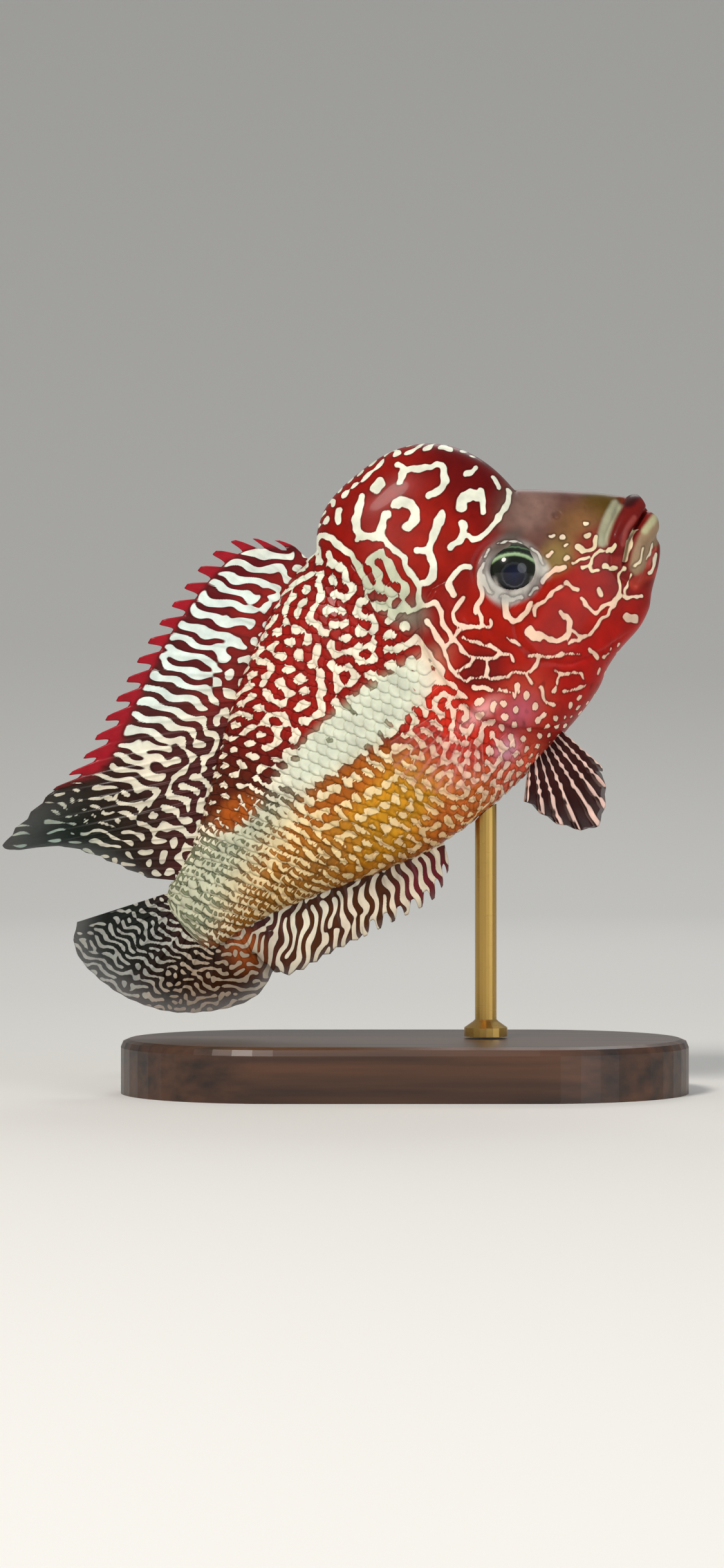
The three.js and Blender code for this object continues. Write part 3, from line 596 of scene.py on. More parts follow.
def laid_strokes(strokes, x, z):
    """Above 0 inside the strokes and below 0 outside, level at 1 and -1 a little way in and out."""
    found = np.full(x.shape, -1.0)
    for width, line in strokes:
        smooth = curve_through(line, np.linspace(0, 1, STROKE_STEPS * len(line)))
        ends = smooth[:, 0].min() - STROKE_ROOM, smooth[:, 0].max() + STROKE_ROOM
        columns = slice(*np.searchsorted(field_x, ends))
        away, _ = line_distance(smooth, x[:, columns], z[:, columns])
        stroke = np.clip(((width - STROKE_TRIM) / 2 - np.abs(away)) / STROKE_EDGE, -1, 1)
        found[:, columns] = np.maximum(found[:, columns], stroke)
    return found


# The left flank's strokes run their own way, and both flanks' have slightly shaky edges
own_left = on_left * soft_step(0, 7, crown(grid_x) - field_z)
shaky_x = 0.16 * smooth_noise(field_z.shape, 2.2, 3) + 1.1 * np.sin(field_z / 3.1 + 1) * own_left
shaky_z = 0.16 * smooth_noise(field_z.shape, 2.2, 4) + 0.9 * np.sin(grid_x / 2.7) * own_left
laid = laid_strokes(HUMP_STROKES + FACE_STROKES, grid_x + shaky_x, field_z + shaky_z)
laid = np.clip(laid + 0.22 * smooth_noise(field_z.shape, 1.6, 5), -1, 1)

# Where the laid strokes hold: hump, face and gill cover, but not the top of the hump and the throat
face_from = 57.2 + 0.6 * np.clip(-3 - field_z, 0, 9) + smooth_noise(field_z.shape, 2.4, 25)
face_from += 4.0 * (1 - soft_step(1, 5, field_z))
hump_and_face = soft_step(-0.7, 0.7, grid_x - face_from)
gill_top = soft_step(52, 53.4, grid_x) * soft_step(-2, 0, field_z) * (field_z < 15)
hump_rear = soft_step(50.5, 51.5, grid_x) * soft_step(24, 25.5, field_z)
hold = np.clip(np.maximum(np.maximum(hump_and_face, gill_top), hump_rear), 0, 1)
from_outline = np.minimum(crown(grid_x) - field_z, field_z - belly(grid_x))
unseen = (1 - soft_step(0.9, 2.4, from_outline)) * (1 - soft_step(74, 78, grid_x))
hold = np.maximum(hold * (1 - unseen), soft_step(-0.9, 0.2, laid))

# How much of each place takes each kind of mark, and how much of it the cream covers
ragged_x = grid_x + 1.3 * smooth_noise(field_z.shape, 3.0, 22)
ragged_z = field_z + 0.7 * smooth_noise(field_z.shape, 2.4, 23)
on_back = soft_step(8, 11, field_z)
on_stalk = (1 - soft_step(16, 26, grid_x)) * (1 - on_back)
on_chest = soft_step(38, 45, ragged_x) * (1 - soft_step(2, 5, field_z))
on_gold = np.clip((1 - on_back) * (1 - on_stalk) * (1 - on_chest), 0, 1)
rearward = on_back * (1 - soft_step(12, 32, grid_x))
kinds = [(on_back - rearward, 2.2, None, 1), (rearward, 1.9, None, 1), (on_chest, 1.7, None, 1)]
slanting = [(on_gold, 1.6, 106, 0.8), (on_gold, 2.6, 16, 0.6), (on_stalk, 1.3, 112, 0.8)]
for share, spacing, run, spread in slanting:
    kinds += [(share * on_left, spacing, run, spread), (share * (1 - on_left), spacing, -run, spread)]
bias = -0.12 + 0.14 * smooth_noise(field_z.shape, 5.0, 21) + 0.2 * smooth_noise(field_z.shape, 2.6, 24)
bias -= 0.38 * rearward + 0.08 * on_gold + 0.42 * on_chest * soft_step(50, 58, grid_x)
bias += 0.95 * patch(ragged_x, ragged_z, 39, 6.2, 15.5, 3.4, 0.25)  # the pale band along the flank
bias += 0.32 * patch(ragged_x, ragged_z, 11, 1.8, 15, 4.2, 0.3)  # the pale tail stalk
bias += 0.35 * patch(ragged_x, field_z, 53.8, 20, 2.9, 7.0, 0.2)  # the pale bar behind the cheek
bias -= 0.25 * patch(grid_x, field_z, 16, 8, 3.6, 2, 0.4)  # the orange spot over the stalk
bias -= 0.12 * unseen * (grid_x > 52)
marks = grow_marks(kinds, bias, laid, hold, 7)


def look_up(field, x, way, first_x, first_way):
    """The field's value between its cells."""
    column = np.clip((x - first_x) / FIELD_STEP, 0, field.shape[1] - 1.001)
    row = np.clip((way - first_way) / FIELD_STEP, 0, field.shape[0] - 1.001)
    c, r = column.astype(int), row.astype(int)
    u, v = column - c, row - r
    near = field[r, c] * (1 - u) + field[r, c + 1] * u
    return near * (1 - v) + (field[r + 1, c] * (1 - u) + field[r + 1, c + 1] * u) * v


# Colours of the skin between the marks and of the marks, each laid as soft patches from tail to snout
GROUND = [
    ("#7c1f1a", 45, 10, 80, 60, 0.1), ("#4a1611", 6, 16, 30, 16, 0.5), ("#5a2412", 8, 10, 14, 6, 0.6),
    ("#a01c14", 40, 17, 16, 12, 0.5), ("#8c9274", 8, 1.5, 17, 6.5, 0.35), ("#a7a98c", 39, 6.4, 15, 3.6, 0.3),
    # The gold ground at (25, -5) is the fish's own colour, made paler still as painted light to make up for
    # the shade where the lower flank turns under
    ("#c67a24", 25, -5, 17, 7.5, 0.4), ("#dc9a22", 36, -7, 11, 6, 0.5), ("#b3581a", 15.5, 7.4, 4, 2.1, 0.5),
    ("#ac722c", 14, -6, 12, 3.5, 0.5), ("#b8641c", 30, 0.5, 8, 2.4, 0.6),
    ("#d6301e", 50, -3, 8, 10, 0.5), ("#d6702e", 43, -12.5, 8, 3.2, 0.6), ("#dc5a40", 52, -12.5, 4.5, 3, 0.6),
    ("#7f8170", 53.8, 20, 3.5, 8, 0.3), ("#a61806", 66, 0, 13, 13, 0.3), ("#b01208", 72, -8, 14, 4, 0.6),
    ("#b43a26", 58, -6, 5, 4, 0.6), ("#e89a98", 52.4, -3.2, 3.2, 1.1, 0.8),
    ("#bc5664", 57, -6.6, 2.8, 2.0, 0.9),
    ("#dc98a8", 52.4, -9.9, 1.8, 1.4, 0.9), ("#7a1610", 56.5, 1.5, 3.6, 3, 0.6),
    ("#8c1208", 62, 26, 16, 12, 0.3), ("#9c1a0a", 60, 22, 7, 6, 0.7), ("#660a0a", 74, 26, 5, 9, 0.6),
    ("#66443c", 80, 14, 9, 7, 0.3), ("#84665c", 77, 15.5, 4, 3, 0.6), ("#55400f", 86, 9.9, 3.2, 2.6, 0.5),
    ("#8c7444", 76.6, 7.6, 4.0, 2.2, 0.6), ("#805a38", 81, 9.5, 3.6, 2.6, 0.7),
    ("#95302a", 80.6, 5, 2.8, 2.6, 0.6), ("#948c86", 69.2, 10.1, 4.9, 4.7, 0.12),
    ("#c6c2ba", 65.4, 9.6, 1.2, 2.6, 0.5), ("#bab5ac", 67.4, 6.8, 2.2, 0.9, 0.4),
    ("#cac6bc", 72.8, 8, 1.2, 1.8, 0.5), ("#64564e", 71, 13.9, 3, 1.0, 0.6),
    ("#8a2a26", 82.6, 2.2, 1.8, 2.2, 0.5),
]
# Colours that lie along a line, as hex, width, softness and the line
LIP_TINTS = [
    ("#701814", 3.2, 0.7, [(91, 6.9), (88.6, 5.9), (86, 4.8), (83.8, 3.2)]),
    ("#3a0a0a", 1.6, 0.9, [(91, 7.4), (90, 7.2), (89, 7)]),
    ("#98403a", 0.7, 0.5, [(88, 4.9), (86, 4.3), (84.4, 3)]),
    ("#a5a488", 1.7, 0.7, [(87.6, 8.1), (85.4, 7.2), (83.4, 6), (82.4, 5.2)]),
    ("#a08466", 3.4, 0.6, [(90.4, 1.8), (88, 1.2), (85.8, 0), (84.6, -1)]),
    ("#b8b48c", 0.9, 0.6, [(90.6, 3.4), (89.4, 3), (88, 2.6)]),
    ("#c0564a", 0.6, 0.5, [(88.2, -0.4), (87.2, -1), (85.8, -1.8)]),
    ("#a8382a", 1.8, 0.8, [(82.4, -2.6), (84, -2.6), (85.6, -2.8)]),
]
CREAM = [
    ("#f3ead0", 45, 10, 90, 60, 0.1), ("#eef0dc", 55, 26, 40, 14, 0.4), ("#fcecd4", 22, 16, 26, 11, 0.5),
    # The pale gold marks at (26, -6) are the fish's own colour, made paler still as painted light to make up
    # for the shade where the lower flank turns under
    ("#dfe3cd", 39, 6.4, 16, 4, 0.3), ("#cfd0b4", 8, 1.5, 17, 5, 0.4), ("#ffe0a8", 26, -6, 22, 8, 0.4),
    ("#ffd49c", 42, -12, 14, 4.5, 0.6), ("#ffd6c0", 51, -6, 8, 9, 0.5),
    ("#f4ceb2", 68, -1, 15, 13, 0.35), ("#f8d8c0", 58, 6, 7, 8, 0.5), ("#cfccc2", 69.2, 10.1, 5.2, 5, 0.15),
    ("#c9cdb2", 53.8, 20, 3.4, 7.4, 0.25), ("#ecdab4", 82, 3, 6, 6, 0.5),
]


def tinted(patches, x, z, lines=()):
    """Colour at each place, where each patch is laid over those before it and the lines over them all."""
    colour = np.zeros((*np.shape(x), 3))
    for hex_code, at_x, at_z, reach_x, reach_z, soft in patches:
        share = patch(x, z, at_x, at_z, reach_x, reach_z, soft)[..., None]
        colour = colour * (1 - share) + np.array(linear(hex_code)) * share
    for hex_code, width, soft, line in lines:
        away = np.abs(line_distance(curve_through(line, np.linspace(0, 1, 12)), x, z)[0])
        share = (1 - soft_step(width / 2 - soft / 2, width / 2 + soft / 2, away))[..., None]
        colour = colour * (1 - share) + np.array(linear(hex_code)) * share
    return colour


def write_marks(thing, cream, ground, mark, clear=None):
    """Stores the markings on the piece's points; clear is the skin's own cover where it is thin."""
    attributes = thing.data.attributes
    for name, values in (("cream", cream), ("clear", clear)):
        if values is not None:
            values = np.ascontiguousarray(values, np.float32)
            attributes.new(name, "FLOAT", "POINT").data.foreach_set("value", values)
    for name, colours in (("ground", ground), ("mark", mark)):
        whole = np.ones((len(cream), 4), np.float32)
        whole[:, :3] = colours
        attributes.new(name, "FLOAT_COLOR", "POINT").data.foreach_set("color", whole.ravel())


def on_grid(values, places):
    """The grid's values in the order of the welded mesh's points."""
    return values.reshape(-1, *values.shape[2:])[places]


skin_x, skin_z = on_grid(rings[..., 0], skin_places), on_grid(rings[..., 2], skin_places)
skin_way = on_grid(from_keel, skin_places)
write_marks(
    skin, look_up(marks, skin_x, skin_way, field_x[0], field_way[0]),
    tinted(GROUND, skin_x, skin_z, LIP_TINTS), tinted(CREAM, skin_x, skin_z),
)

# Living fish skin: thin clear skin and slime over pigment, so it is wet to the eye, soft inside and a little
# uneven. The marks have crisp edges with a darker line just outside them.
MOTTLE_PER_METRE = 420.0  # patches of pigment about 2.4 mm across
MARK_EDGE = (-0.16, 0.2)  # from ground to mark, as a share of the grown field
DARK_LINE, DARK_LINE_SHADE = (-0.95, -0.25), (1.0, 0.62)
UNEVEN = (0.82, 1.16)
GRAIN_SHARE, GRAIN_DEPTH, GRAIN_STRENGTH = 0.25, 0.00012, 0.25
GLOW_RED_GREEN_BLUE, GLOW_DEPTH = (1.0, 0.25, 0.15), 0.0005


def marked_skin(name, roughness, inner_glow, grain_mm, clear=False):
    """Marked skin with its own shine, glow from inside and size of grain."""
    made, tree = new_material(name)
    place = add(tree, "ShaderNodeTexCoord").outputs["Object"]
    cream = add(tree, "ShaderNodeAttribute", attribute_name="cream").outputs["Fac"]
    ground = add(tree, "ShaderNodeAttribute", attribute_name="ground").outputs["Color"]
    mark = add(tree, "ShaderNodeAttribute", attribute_name="mark").outputs["Color"]
    mottle = add(tree, "ShaderNodeTexNoise", [
        ("Vector", place), ("Scale", MOTTLE_PER_METRE), ("Detail", 4.0),
    ]).outputs["Fac"]
    grain = add(tree, "ShaderNodeTexNoise", [
        ("Vector", place), ("Scale", 1 / (grain_mm * MM)), ("Detail", 3.0),
    ]).outputs["Fac"]
    inside = add(tree, "ShaderNodeMapRange", [
        ("Value", cream), ("From Min", MARK_EDGE[0]), ("From Max", MARK_EDGE[1]),
    ], interpolation_type="SMOOTHSTEP").outputs[0]
    outside = add(tree, "ShaderNodeMapRange", [
        ("Value", cream), ("From Min", DARK_LINE[0]), ("From Max", DARK_LINE[1]),
        ("To Min", DARK_LINE_SHADE[0]), ("To Max", DARK_LINE_SHADE[1]),
    ], interpolation_type="SMOOTHSTEP").outputs[0]
    uneven = add(tree, "ShaderNodeMapRange", [
        ("Value", mottle), ("From Min", 0.3), ("From Max", 0.7), ("To Min", UNEVEN[0]), ("To Max", UNEVEN[1]),
    ]).outputs[0]
    shade = add(tree, "ShaderNodeMath", [(0, outside), (1, uneven)], operation="MULTIPLY").outputs[0]
    dark = add(tree, "ShaderNodeVectorMath", [(0, ground), (3, shade)], operation="SCALE").outputs[0]
    pale = add(tree, "ShaderNodeVectorMath", [(0, mark), (3, uneven)], operation="SCALE").outputs[0]
    colour = add(tree, "ShaderNodeMix", [(0, inside), (6, dark), (7, pale)], data_type="RGBA").outputs[2]
    height = add(tree, "ShaderNodeMath", [
        (0, grain), (1, GRAIN_SHARE), (2, inside),
    ], operation="MULTIPLY_ADD").outputs[0]
    bump = add(tree, "ShaderNodeBump", [
        ("Height", height), ("Strength", GRAIN_STRENGTH), ("Distance", GRAIN_DEPTH),
    ]).outputs[0]
    inputs = [
        ("Base Color", colour), ("Roughness", roughness), ("IOR", 1.38), ("Specular IOR Level", 0.16),
        ("Normal", bump), ("Coat Weight", 0.08), ("Coat Roughness", 0.08), ("Subsurface Weight", inner_glow),
        ("Subsurface Radius", GLOW_RED_GREEN_BLUE), ("Subsurface Scale", GLOW_DEPTH),
    ]
    if clear:
        cover = add(tree, "ShaderNodeAttribute", attribute_name="clear").outputs["Fac"]
        inputs.append(("Alpha", cover))
    shader = add(tree, "ShaderNodeBsdfPrincipled", inputs)
    add(tree, "ShaderNodeOutputMaterial", [("Surface", shader.outputs[0])])
    return made


skin.data.materials.append(marked_skin("wet fish skin", 0.36, 0.08, 0.16))
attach(skin, "root")
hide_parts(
    "head", "nuchal_hump", "trunk", "tail_stalk", "lower_jaw", "gill_cover_right", "gill_cover_left",
)

# Scales: thin clear plates of bone, each rooted in its own pocket of skin with its round edge over the next
# one behind. About thirty run from the gill cover to the tail, as on other cichlids, over pigmented skin.
SCALE_PITCH = 1.7
SCALE_ROW = 1.5
ROWS_EACH_WAY = 24
SCALE_LENGTH, SCALE_WIDTH = 2.5, 2.3
SCALE_LIFT = 0.1
SCALE_DOME = 0.05
SCALE_CELLS = 5
SCALE_TURN = 1.35  # radians from the middle of a scale's round edge to its side
SCALE_TIP = 0.4  # how much of its length the round edge takes
SCALES_FROM, SCALES_TO = 1.6, 60
FREE_OF_KEEL, FREE_OF_BACK = 0.8, 1.0
SCALE_STRAY = (0.09, 0.07, 0.015)  # along, round and out of the body
# Height of the middle row along the flank
SCALE_MIDDLE = through([(-2, -0.6), (5, 0.2), (20, 2.5), (50, 4), (60, 4)])
SCALE_PATCH = 0.003  # share of the baked picture that each scale takes


def on_skin(x, way):
    """Points and outward normals of the finished skin at places along and round the body."""
    ring = np.clip(np.interp(x, stations, np.arange(SKIN_RINGS + 1)), 1, SKIN_RINGS - 1.001)
    first = ring.astype(int)
    ahead = (ring - first)[..., None]
    found = []
    for n in (first, first + 1):
        share = np.clip(np.abs(way) / -from_keel[n, half_count], 0, 1) * half_count
        column = np.clip(np.where(way <= 0, share, SKIN_ROUND - share), 0, SKIN_ROUND - 0.001)
        c = column.astype(int)
        beyond = (column - c)[..., None]
        found.append([
            grid[n, c] * (1 - beyond) + grid[n, c + 1] * beyond for grid in (skin_points, skin_normals)
        ])
    return [near * (1 - ahead) + far * ahead for near, far in zip(*found)]


middle_x = np.linspace(-2, SCALES_TO, 240)
middle_way = np.array([
    np.interp(SCALE_MIDDLE(x), rings[n, :half_count + 1, 2], -from_keel[n, :half_count + 1])
    for x, n in zip(middle_x, np.searchsorted(stations, middle_x))
])
girth = np.interp(middle_x, stations, -from_keel[:, half_count])
spots = []
for row in range(-ROWS_EACH_WAY, ROWS_EACH_WAY + 1):
    xs = np.arange(SCALES_FROM + SCALE_PITCH / 2 * (row % 2), SCALES_TO, SCALE_PITCH)
    ways = np.interp(xs, middle_x, middle_way) + row * SCALE_ROW
    heights = on_skin(xs, -np.clip(ways, 0, None))[0][:, 2]
    below_back = ways < np.interp(xs, middle_x, girth) - FREE_OF_BACK
    kept = (ways > FREE_OF_KEEL) & below_back & (xs < SCALES_END(heights))
    spots += [(x, side * way) for side in (-1, 1) for x, way in zip(xs[kept], ways[kept])]
spots = np.array(spots)
shift = np.random.default_rng(5).uniform(-1, 1, (len(spots), 3)) * SCALE_STRAY

# One scale's top as a small grid, and its wall down to the skin from the grid's rim
across, along = np.meshgrid(
    np.sin(np.linspace(-SCALE_TURN, SCALE_TURN, SCALE_CELLS + 1)), np.linspace(0, 1, SCALE_CELLS + 1),
    indexing="ij",
)
edge = 1 - SCALE_TIP + SCALE_TIP * np.sqrt(1 - across**2)
back_from_root = SCALE_LENGTH * along * edge
to_side = SCALE_WIDTH / 2 * across
rise = SCALE_DEPTH / 2 + SCALE_DEPTH + SCALE_LIFT
height = -SCALE_DEPTH / 2 + rise * along + SCALE_DOME * (1 - across**2)
cells = np.arange((SCALE_CELLS + 1) ** 2).reshape(SCALE_CELLS + 1, SCALE_CELLS + 1)
rim = np.concatenate([cells[0, :-1], cells[:-1, -1], cells[-1, :0:-1], cells[:0:-1, 0]])
back_from_root = np.concatenate([back_from_root.ravel(), back_from_root.ravel()[rim]])
to_side = np.concatenate([to_side.ravel(), to_side.ravel()[rim]])
height = np.concatenate([height.ravel(), np.full(len(rim), -SCALE_DEPTH)])
per_scale = len(height)
top = np.stack([cells[:-1, :-1], cells[:-1, 1:], cells[1:, 1:], cells[1:, :-1]], -1).reshape(-1, 4)
lower = np.arange(len(rim)) + cells.size
wall = np.stack([rim, lower, np.roll(lower, -1), np.roll(rim, -1)], -1)
scale_x = spots[:, :1] + shift[:, :1] + SCALE_LENGTH - SCALE_PITCH - back_from_root
scale_way = spots[:, 1:] + shift[:, 1:2] + to_side
point, normal = on_skin(scale_x, scale_way)
tops = point + normal * (height + shift[:, 2:])[..., None]
first_point = np.arange(len(spots))[:, None, None] * per_scale
quads = (np.concatenate([top, wall])[None] + first_point).reshape(-1, 4)
floors = (lower[::-1][None, None] + first_point).reshape(-1, len(lower))
scale_mesh = bpy.data.meshes.new("scales")
scale_mesh.from_pydata(placed(tops).reshape(-1, 3).tolist(), [], quads.tolist() + floors.tolist())
scale_mesh.polygons.foreach_set("use_smooth", [True] * len(scale_mesh.polygons))
scales = bpy.data.objects.new("scales", scale_mesh)
bpy.context.collection.objects.link(scales)
bm = bmesh.new()
bm.from_mesh(scale_mesh)
bmesh.ops.recalc_face_normals(bm, faces=bm.faces)
bm.to_mesh(scale_mesh)
bm.free()
flat_x, flat_way, flat_z = scale_x.ravel(), scale_way.ravel(), point[..., 2].ravel()
write_marks(
    scales, look_up(marks, flat_x, flat_way, field_x[0], field_way[0]),
    tinted(GROUND, flat_x, flat_z), tinted(CREAM, flat_x, flat_z),
)
bake_map = scale_mesh.uv_layers.new(name="OFBake")
patch_u = spots[:, :1] / 100 + SCALE_PATCH * (back_from_root / SCALE_LENGTH - 0.5)
patch_v = (spots[:, 1:] + 60) / 120 + SCALE_PATCH * (to_side / SCALE_WIDTH)
corner_point = np.zeros(len(scale_mesh.loops), int)
scale_mesh.loops.foreach_get("vertex_index", corner_point)
bake_map.uv.foreach_set("vector", np.stack([patch_u.ravel(), patch_v.ravel()], -1)[corner_point].ravel())
# Clear bone under slime is a little glossier than bare skin, with a finer grain
scale_mesh.materials.append(marked_skin("wet clear scales", 0.3, 0.08, 0.12))
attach(scales, "root")

# Eyes: balls of clear wet tissue, each sunk in a socket of skin. Each shows a navy pupil in a dark ring,
# with a mottled pale iris round its lower part and dark green with pale green bands above.
EYE_RADIUS = 4.7
EYE_OUT = 5.6
PUPIL_X, PUPIL_Z = 68.95, 9.3
IRIS_OUT = 4.6
LID_DROP = 2.05  # the pale bands over the iris bend round a point this far below the pupil
LID_OUT = 7.0
LID_EDGE = (4.7, 5.0)  # millimetres from that point over which the bands begin
LOWER_TO_UPPER = (-1.3, 0.1)  # heights over the pupil between which the lower iris passes into the upper
FIBRES_PER_MM = 2.2
RAGGED_IRIS, RAGGED_LID = 0.5, 0.35
# Bands as (millimetres out, hex)
LOWER_IRIS = [
    (0, "#0c143a"), (1.0, "#080e28"), (1.65, "#05081c"), (1.8, "#4a4c54"), (1.95, "#0c0d14"),
    (2.4, "#101214"), (2.65, "#7e7a74"), (2.9, "#ccc8c0"), (3.3, "#8a8680"), (3.7, "#c6c3ba"),
    (4.3, "#a5a098"),
]
UPPER_IRIS = [
    (0, "#0c143a"), (1.0, "#080e28"), (1.6, "#05081c"), (1.95, "#2a2e30"), (2.15, "#0e110c"),
    (3.2, "#141b0e"), (4.4, "#20281c"),
]
LID_BANDS = [
    (0, "#141b0e"), (4.8, "#1c2614"), (5.05, "#8fae80"), (5.3, "#a8c298"), (5.5, "#40543a"), (5.7, "#10160e"),
    (6.1, "#1a2416"), (6.25, "#5f7a58"), (6.45, "#20281c"), (6.8, "#4a4a44"),
]

# A wet clear layer over deep colour, so the eye shows one crisp light and stays dark
eye_tissue, tree = new_material("clear wet eye")
place = add(tree, "ShaderNodeTexCoord").outputs["Object"]
pupil = placed(np.array([PUPIL_X, 0, PUPIL_Z])) / MM
from_pupil = add(tree, "ShaderNodeMapping", [
    ("Vector", place), ("Location", (-pupil[0], 0, -pupil[2])), ("Scale", (1 / MM, 0, 1 / MM)),
]).outputs[0]
away = add(tree, "ShaderNodeVectorMath", [(0, from_pupil)], operation="LENGTH").outputs[1]
over_pupil = add(tree, "ShaderNodeSeparateXYZ", [(0, from_pupil)]).outputs["Z"]
lowered = add(tree, "ShaderNodeVectorMath", [
    (0, from_pupil), (1, (0, 0, LID_DROP)),
], operation="ADD").outputs[0]
arch = add(tree, "ShaderNodeVectorMath", [(0, lowered)], operation="LENGTH").outputs[1]
fibres = add(tree, "ShaderNodeTexNoise", [
    ("Vector", from_pupil), ("Scale", FIBRES_PER_MM), ("Detail", 6.0),
]).outputs["Fac"]
band_colours = []
for distance, ragged, reach, stops in (
    (away, RAGGED_IRIS, IRIS_OUT, LOWER_IRIS), (away, RAGGED_IRIS, IRIS_OUT, UPPER_IRIS),
    (arch, RAGGED_LID, LID_OUT, LID_BANDS),
):
    uneven = add(tree, "ShaderNodeMath", [
        (0, fibres), (1, ragged), (2, distance),
    ], operation="MULTIPLY_ADD").outputs[0]
    share = add(tree, "ShaderNodeMapRange", [("Value", uneven), ("From Max", reach + ragged / 2)]).outputs[0]
    ramp = add(tree, "ShaderNodeValToRGB", [(0, share)])
    bands = ramp.color_ramp.elements
    while len(bands) < len(stops):
        bands.new(0.5)
    for element, (position, hex_code) in zip(bands, stops):
        element.position = position / reach
        element.color = (*linear(hex_code), 1)
    band_colours.append(ramp.outputs[0])
lower_iris, upper_iris, lid = band_colours
above = add(tree, "ShaderNodeMapRange", [
    ("Value", over_pupil), ("From Min", LOWER_TO_UPPER[0]), ("From Max", LOWER_TO_UPPER[1]),
]).outputs[0]
beyond_arch = add(tree, "ShaderNodeMapRange", [
    ("Value", arch), ("From Min", LID_EDGE[0]), ("From Max", LID_EDGE[1]),
]).outputs[0]
lidded = add(tree, "ShaderNodeMath", [(0, beyond_arch), (1, above)], operation="MULTIPLY").outputs[0]
iris = add(tree, "ShaderNodeMix", [(0, above), (6, lower_iris), (7, upper_iris)], data_type="RGBA").outputs[2]
eye_colour = add(tree, "ShaderNodeMix", [(0, lidded), (6, iris), (7, lid)], data_type="RGBA").outputs[2]
shader = add(tree, "ShaderNodeBsdfPrincipled", [
    ("Base Color", eye_colour), ("Roughness", 0.25), ("Specular IOR Level", 0.1), ("Coat Weight", 0.6),
    ("Coat Roughness", 0.02),
])
add(tree, "ShaderNodeOutputMaterial", [("Surface", shader.outputs[0])])

for side, side_name in ((-1, "right"), (1, "left")):
    bm = bmesh.new()
    bmesh.ops.create_uvsphere(bm, u_segments=64, v_segments=48, radius=EYE_RADIUS * MM)
    bmesh.ops.rotate(bm, verts=bm.verts, cent=(0, 0, 0), matrix=Matrix.Rotation(math.pi / 2, 3, "X"))
    centre = Vector(placed(np.array([SOCKET[0], side * EYE_OUT, SOCKET[1]])).tolist())
    bmesh.ops.translate(bm, verts=bm.verts, vec=centre)
    for face in bm.faces:
        face.smooth = True
    mesh = bpy.data.meshes.new(f"eyeball_{side_name}")
    bm.to_mesh(mesh)
    bm.free()
    mesh.materials.append(eye_tissue)
    eyeball = bpy.data.objects.new(f"eyeball_{side_name}", mesh)
    bpy.context.collection.objects.link(eyeball)
    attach(eyeball, "root")
    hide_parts(f"eye_{side_name}")

# Fins: thin skin stretched between bony spines and soft rays, which stand out on both faces as ridges.
# The membrane is drawn back a little between the rays, most between the spines of the back fin.
DORSAL = {
    "root": [(47.4, 28.6), (40, 26.6), (30, 21.8), (20, 15.4), (14, 10.6), (8, 6.6), (3.4, 4.2)],
    "tip": [(46.6, 34.4), (38.6, 39.6), (25, 36.8), (10, 30.8), (2, 27.8), (-8, 26.6), (-14.8, 24.8),
            (-7.2, 19), (-0.8, 8.2)],
    "spines": 17, "rays": 11, "scallop": 2.3, "droop": 1.2, "half": 0.42, "columns": 16, "rows": 60,
}
ANAL = {
    "root": [(37.6, -13.2), (31, -12.2), (25, -10.4), (19, -8.4), (13, -6.6), (5.8, -5.3)],
    "tip": [(35.4, -18.4), (30.4, -20.6), (22.4, -19.3), (14, -17.6), (6.2, -15.9), (4.4, -10)],
    "spines": 8, "rays": 9, "scallop": 1.7, "droop": 0.7, "half": 0.4, "columns": 14, "rows": 44,
}
CAUDAL = {
    "root": [(1.2, 4.2), (1.4, 2), (1.6, -0.4), (1.9, -2.6), (2.6, -4.4), (5.4, -5.9)],
    "tip": [(-13.2, 9.6), (-15.6, 7.4), (-16.3, 3.4), (-14.6, -3.4), (-10.6, -9.6), (-4.4, -14), (1, -15.6),
            (6.0, -14)],
    "spines": 0, "rays": 17, "scallop": 0.4, "droop": 0, "half": 0.4, "columns": 14, "rows": 70,
}
PELVIC = {
    "root": [(60.6, -12.4), (59, -12.6), (57.4, -12.8), (55.8, -13), (54.4, -13.2)],
    "tip": [(61.9, -20.6), (59.4, -24.8), (55.4, -27.2), (51.8, -23.6), (50, -17.8)],
    "spines": 1, "rays": 7, "scallop": 1.5, "droop": 0, "half": 0.42, "columns": 16, "rows": 46,
}
PECTORAL = {
    "root": [(48.6, 0.4), (48.5, -1.2), (48.8, -2.9), (49.5, -4.7), (50.6, -6.3)],
    "tip": [(39.6, 1.6), (37.6, -2.2), (38.6, -6.4), (42, -9.9), (46.8, -11.8)],
    "spines": 0, "rays": 11, "scallop": 0.3, "droop": 0, "half": 0.3, "columns": 12, "rows": 40,
}
# Between two spines the edge drops over the first share of the way and climbs again over the last
NOTCH_DROP, NOTCH_CLIMB = (0.22, 0.6), (0.8, 1.0)
SOFT_SCALLOP = 0.3
DROOP_FROM, ROUND_FROM = 0.7, 0.93  # shares of the way out from which the tips droop and the edge rounds off
RAY_SPREAD = 0.28
MEMBRANE, RAY_RIDGE, RAY_TAPER, FIN_TAPER = 0.45, 0.85, 0.65, 0.45  # as shares of the fin's half thickness
END_COLUMNS = 3
TAIL_SWEEP, TAIL_WAVE = 2.6, 0.3
FIN_WAVE = 0.35
PELVIC_SIDE, PELVIC_SPLAY = 2.2, 3.4
PECTORAL_ROOT = (48.8, -2.9)
PECTORAL_RISE, PECTORAL_FLARE = 1.4, 3.0


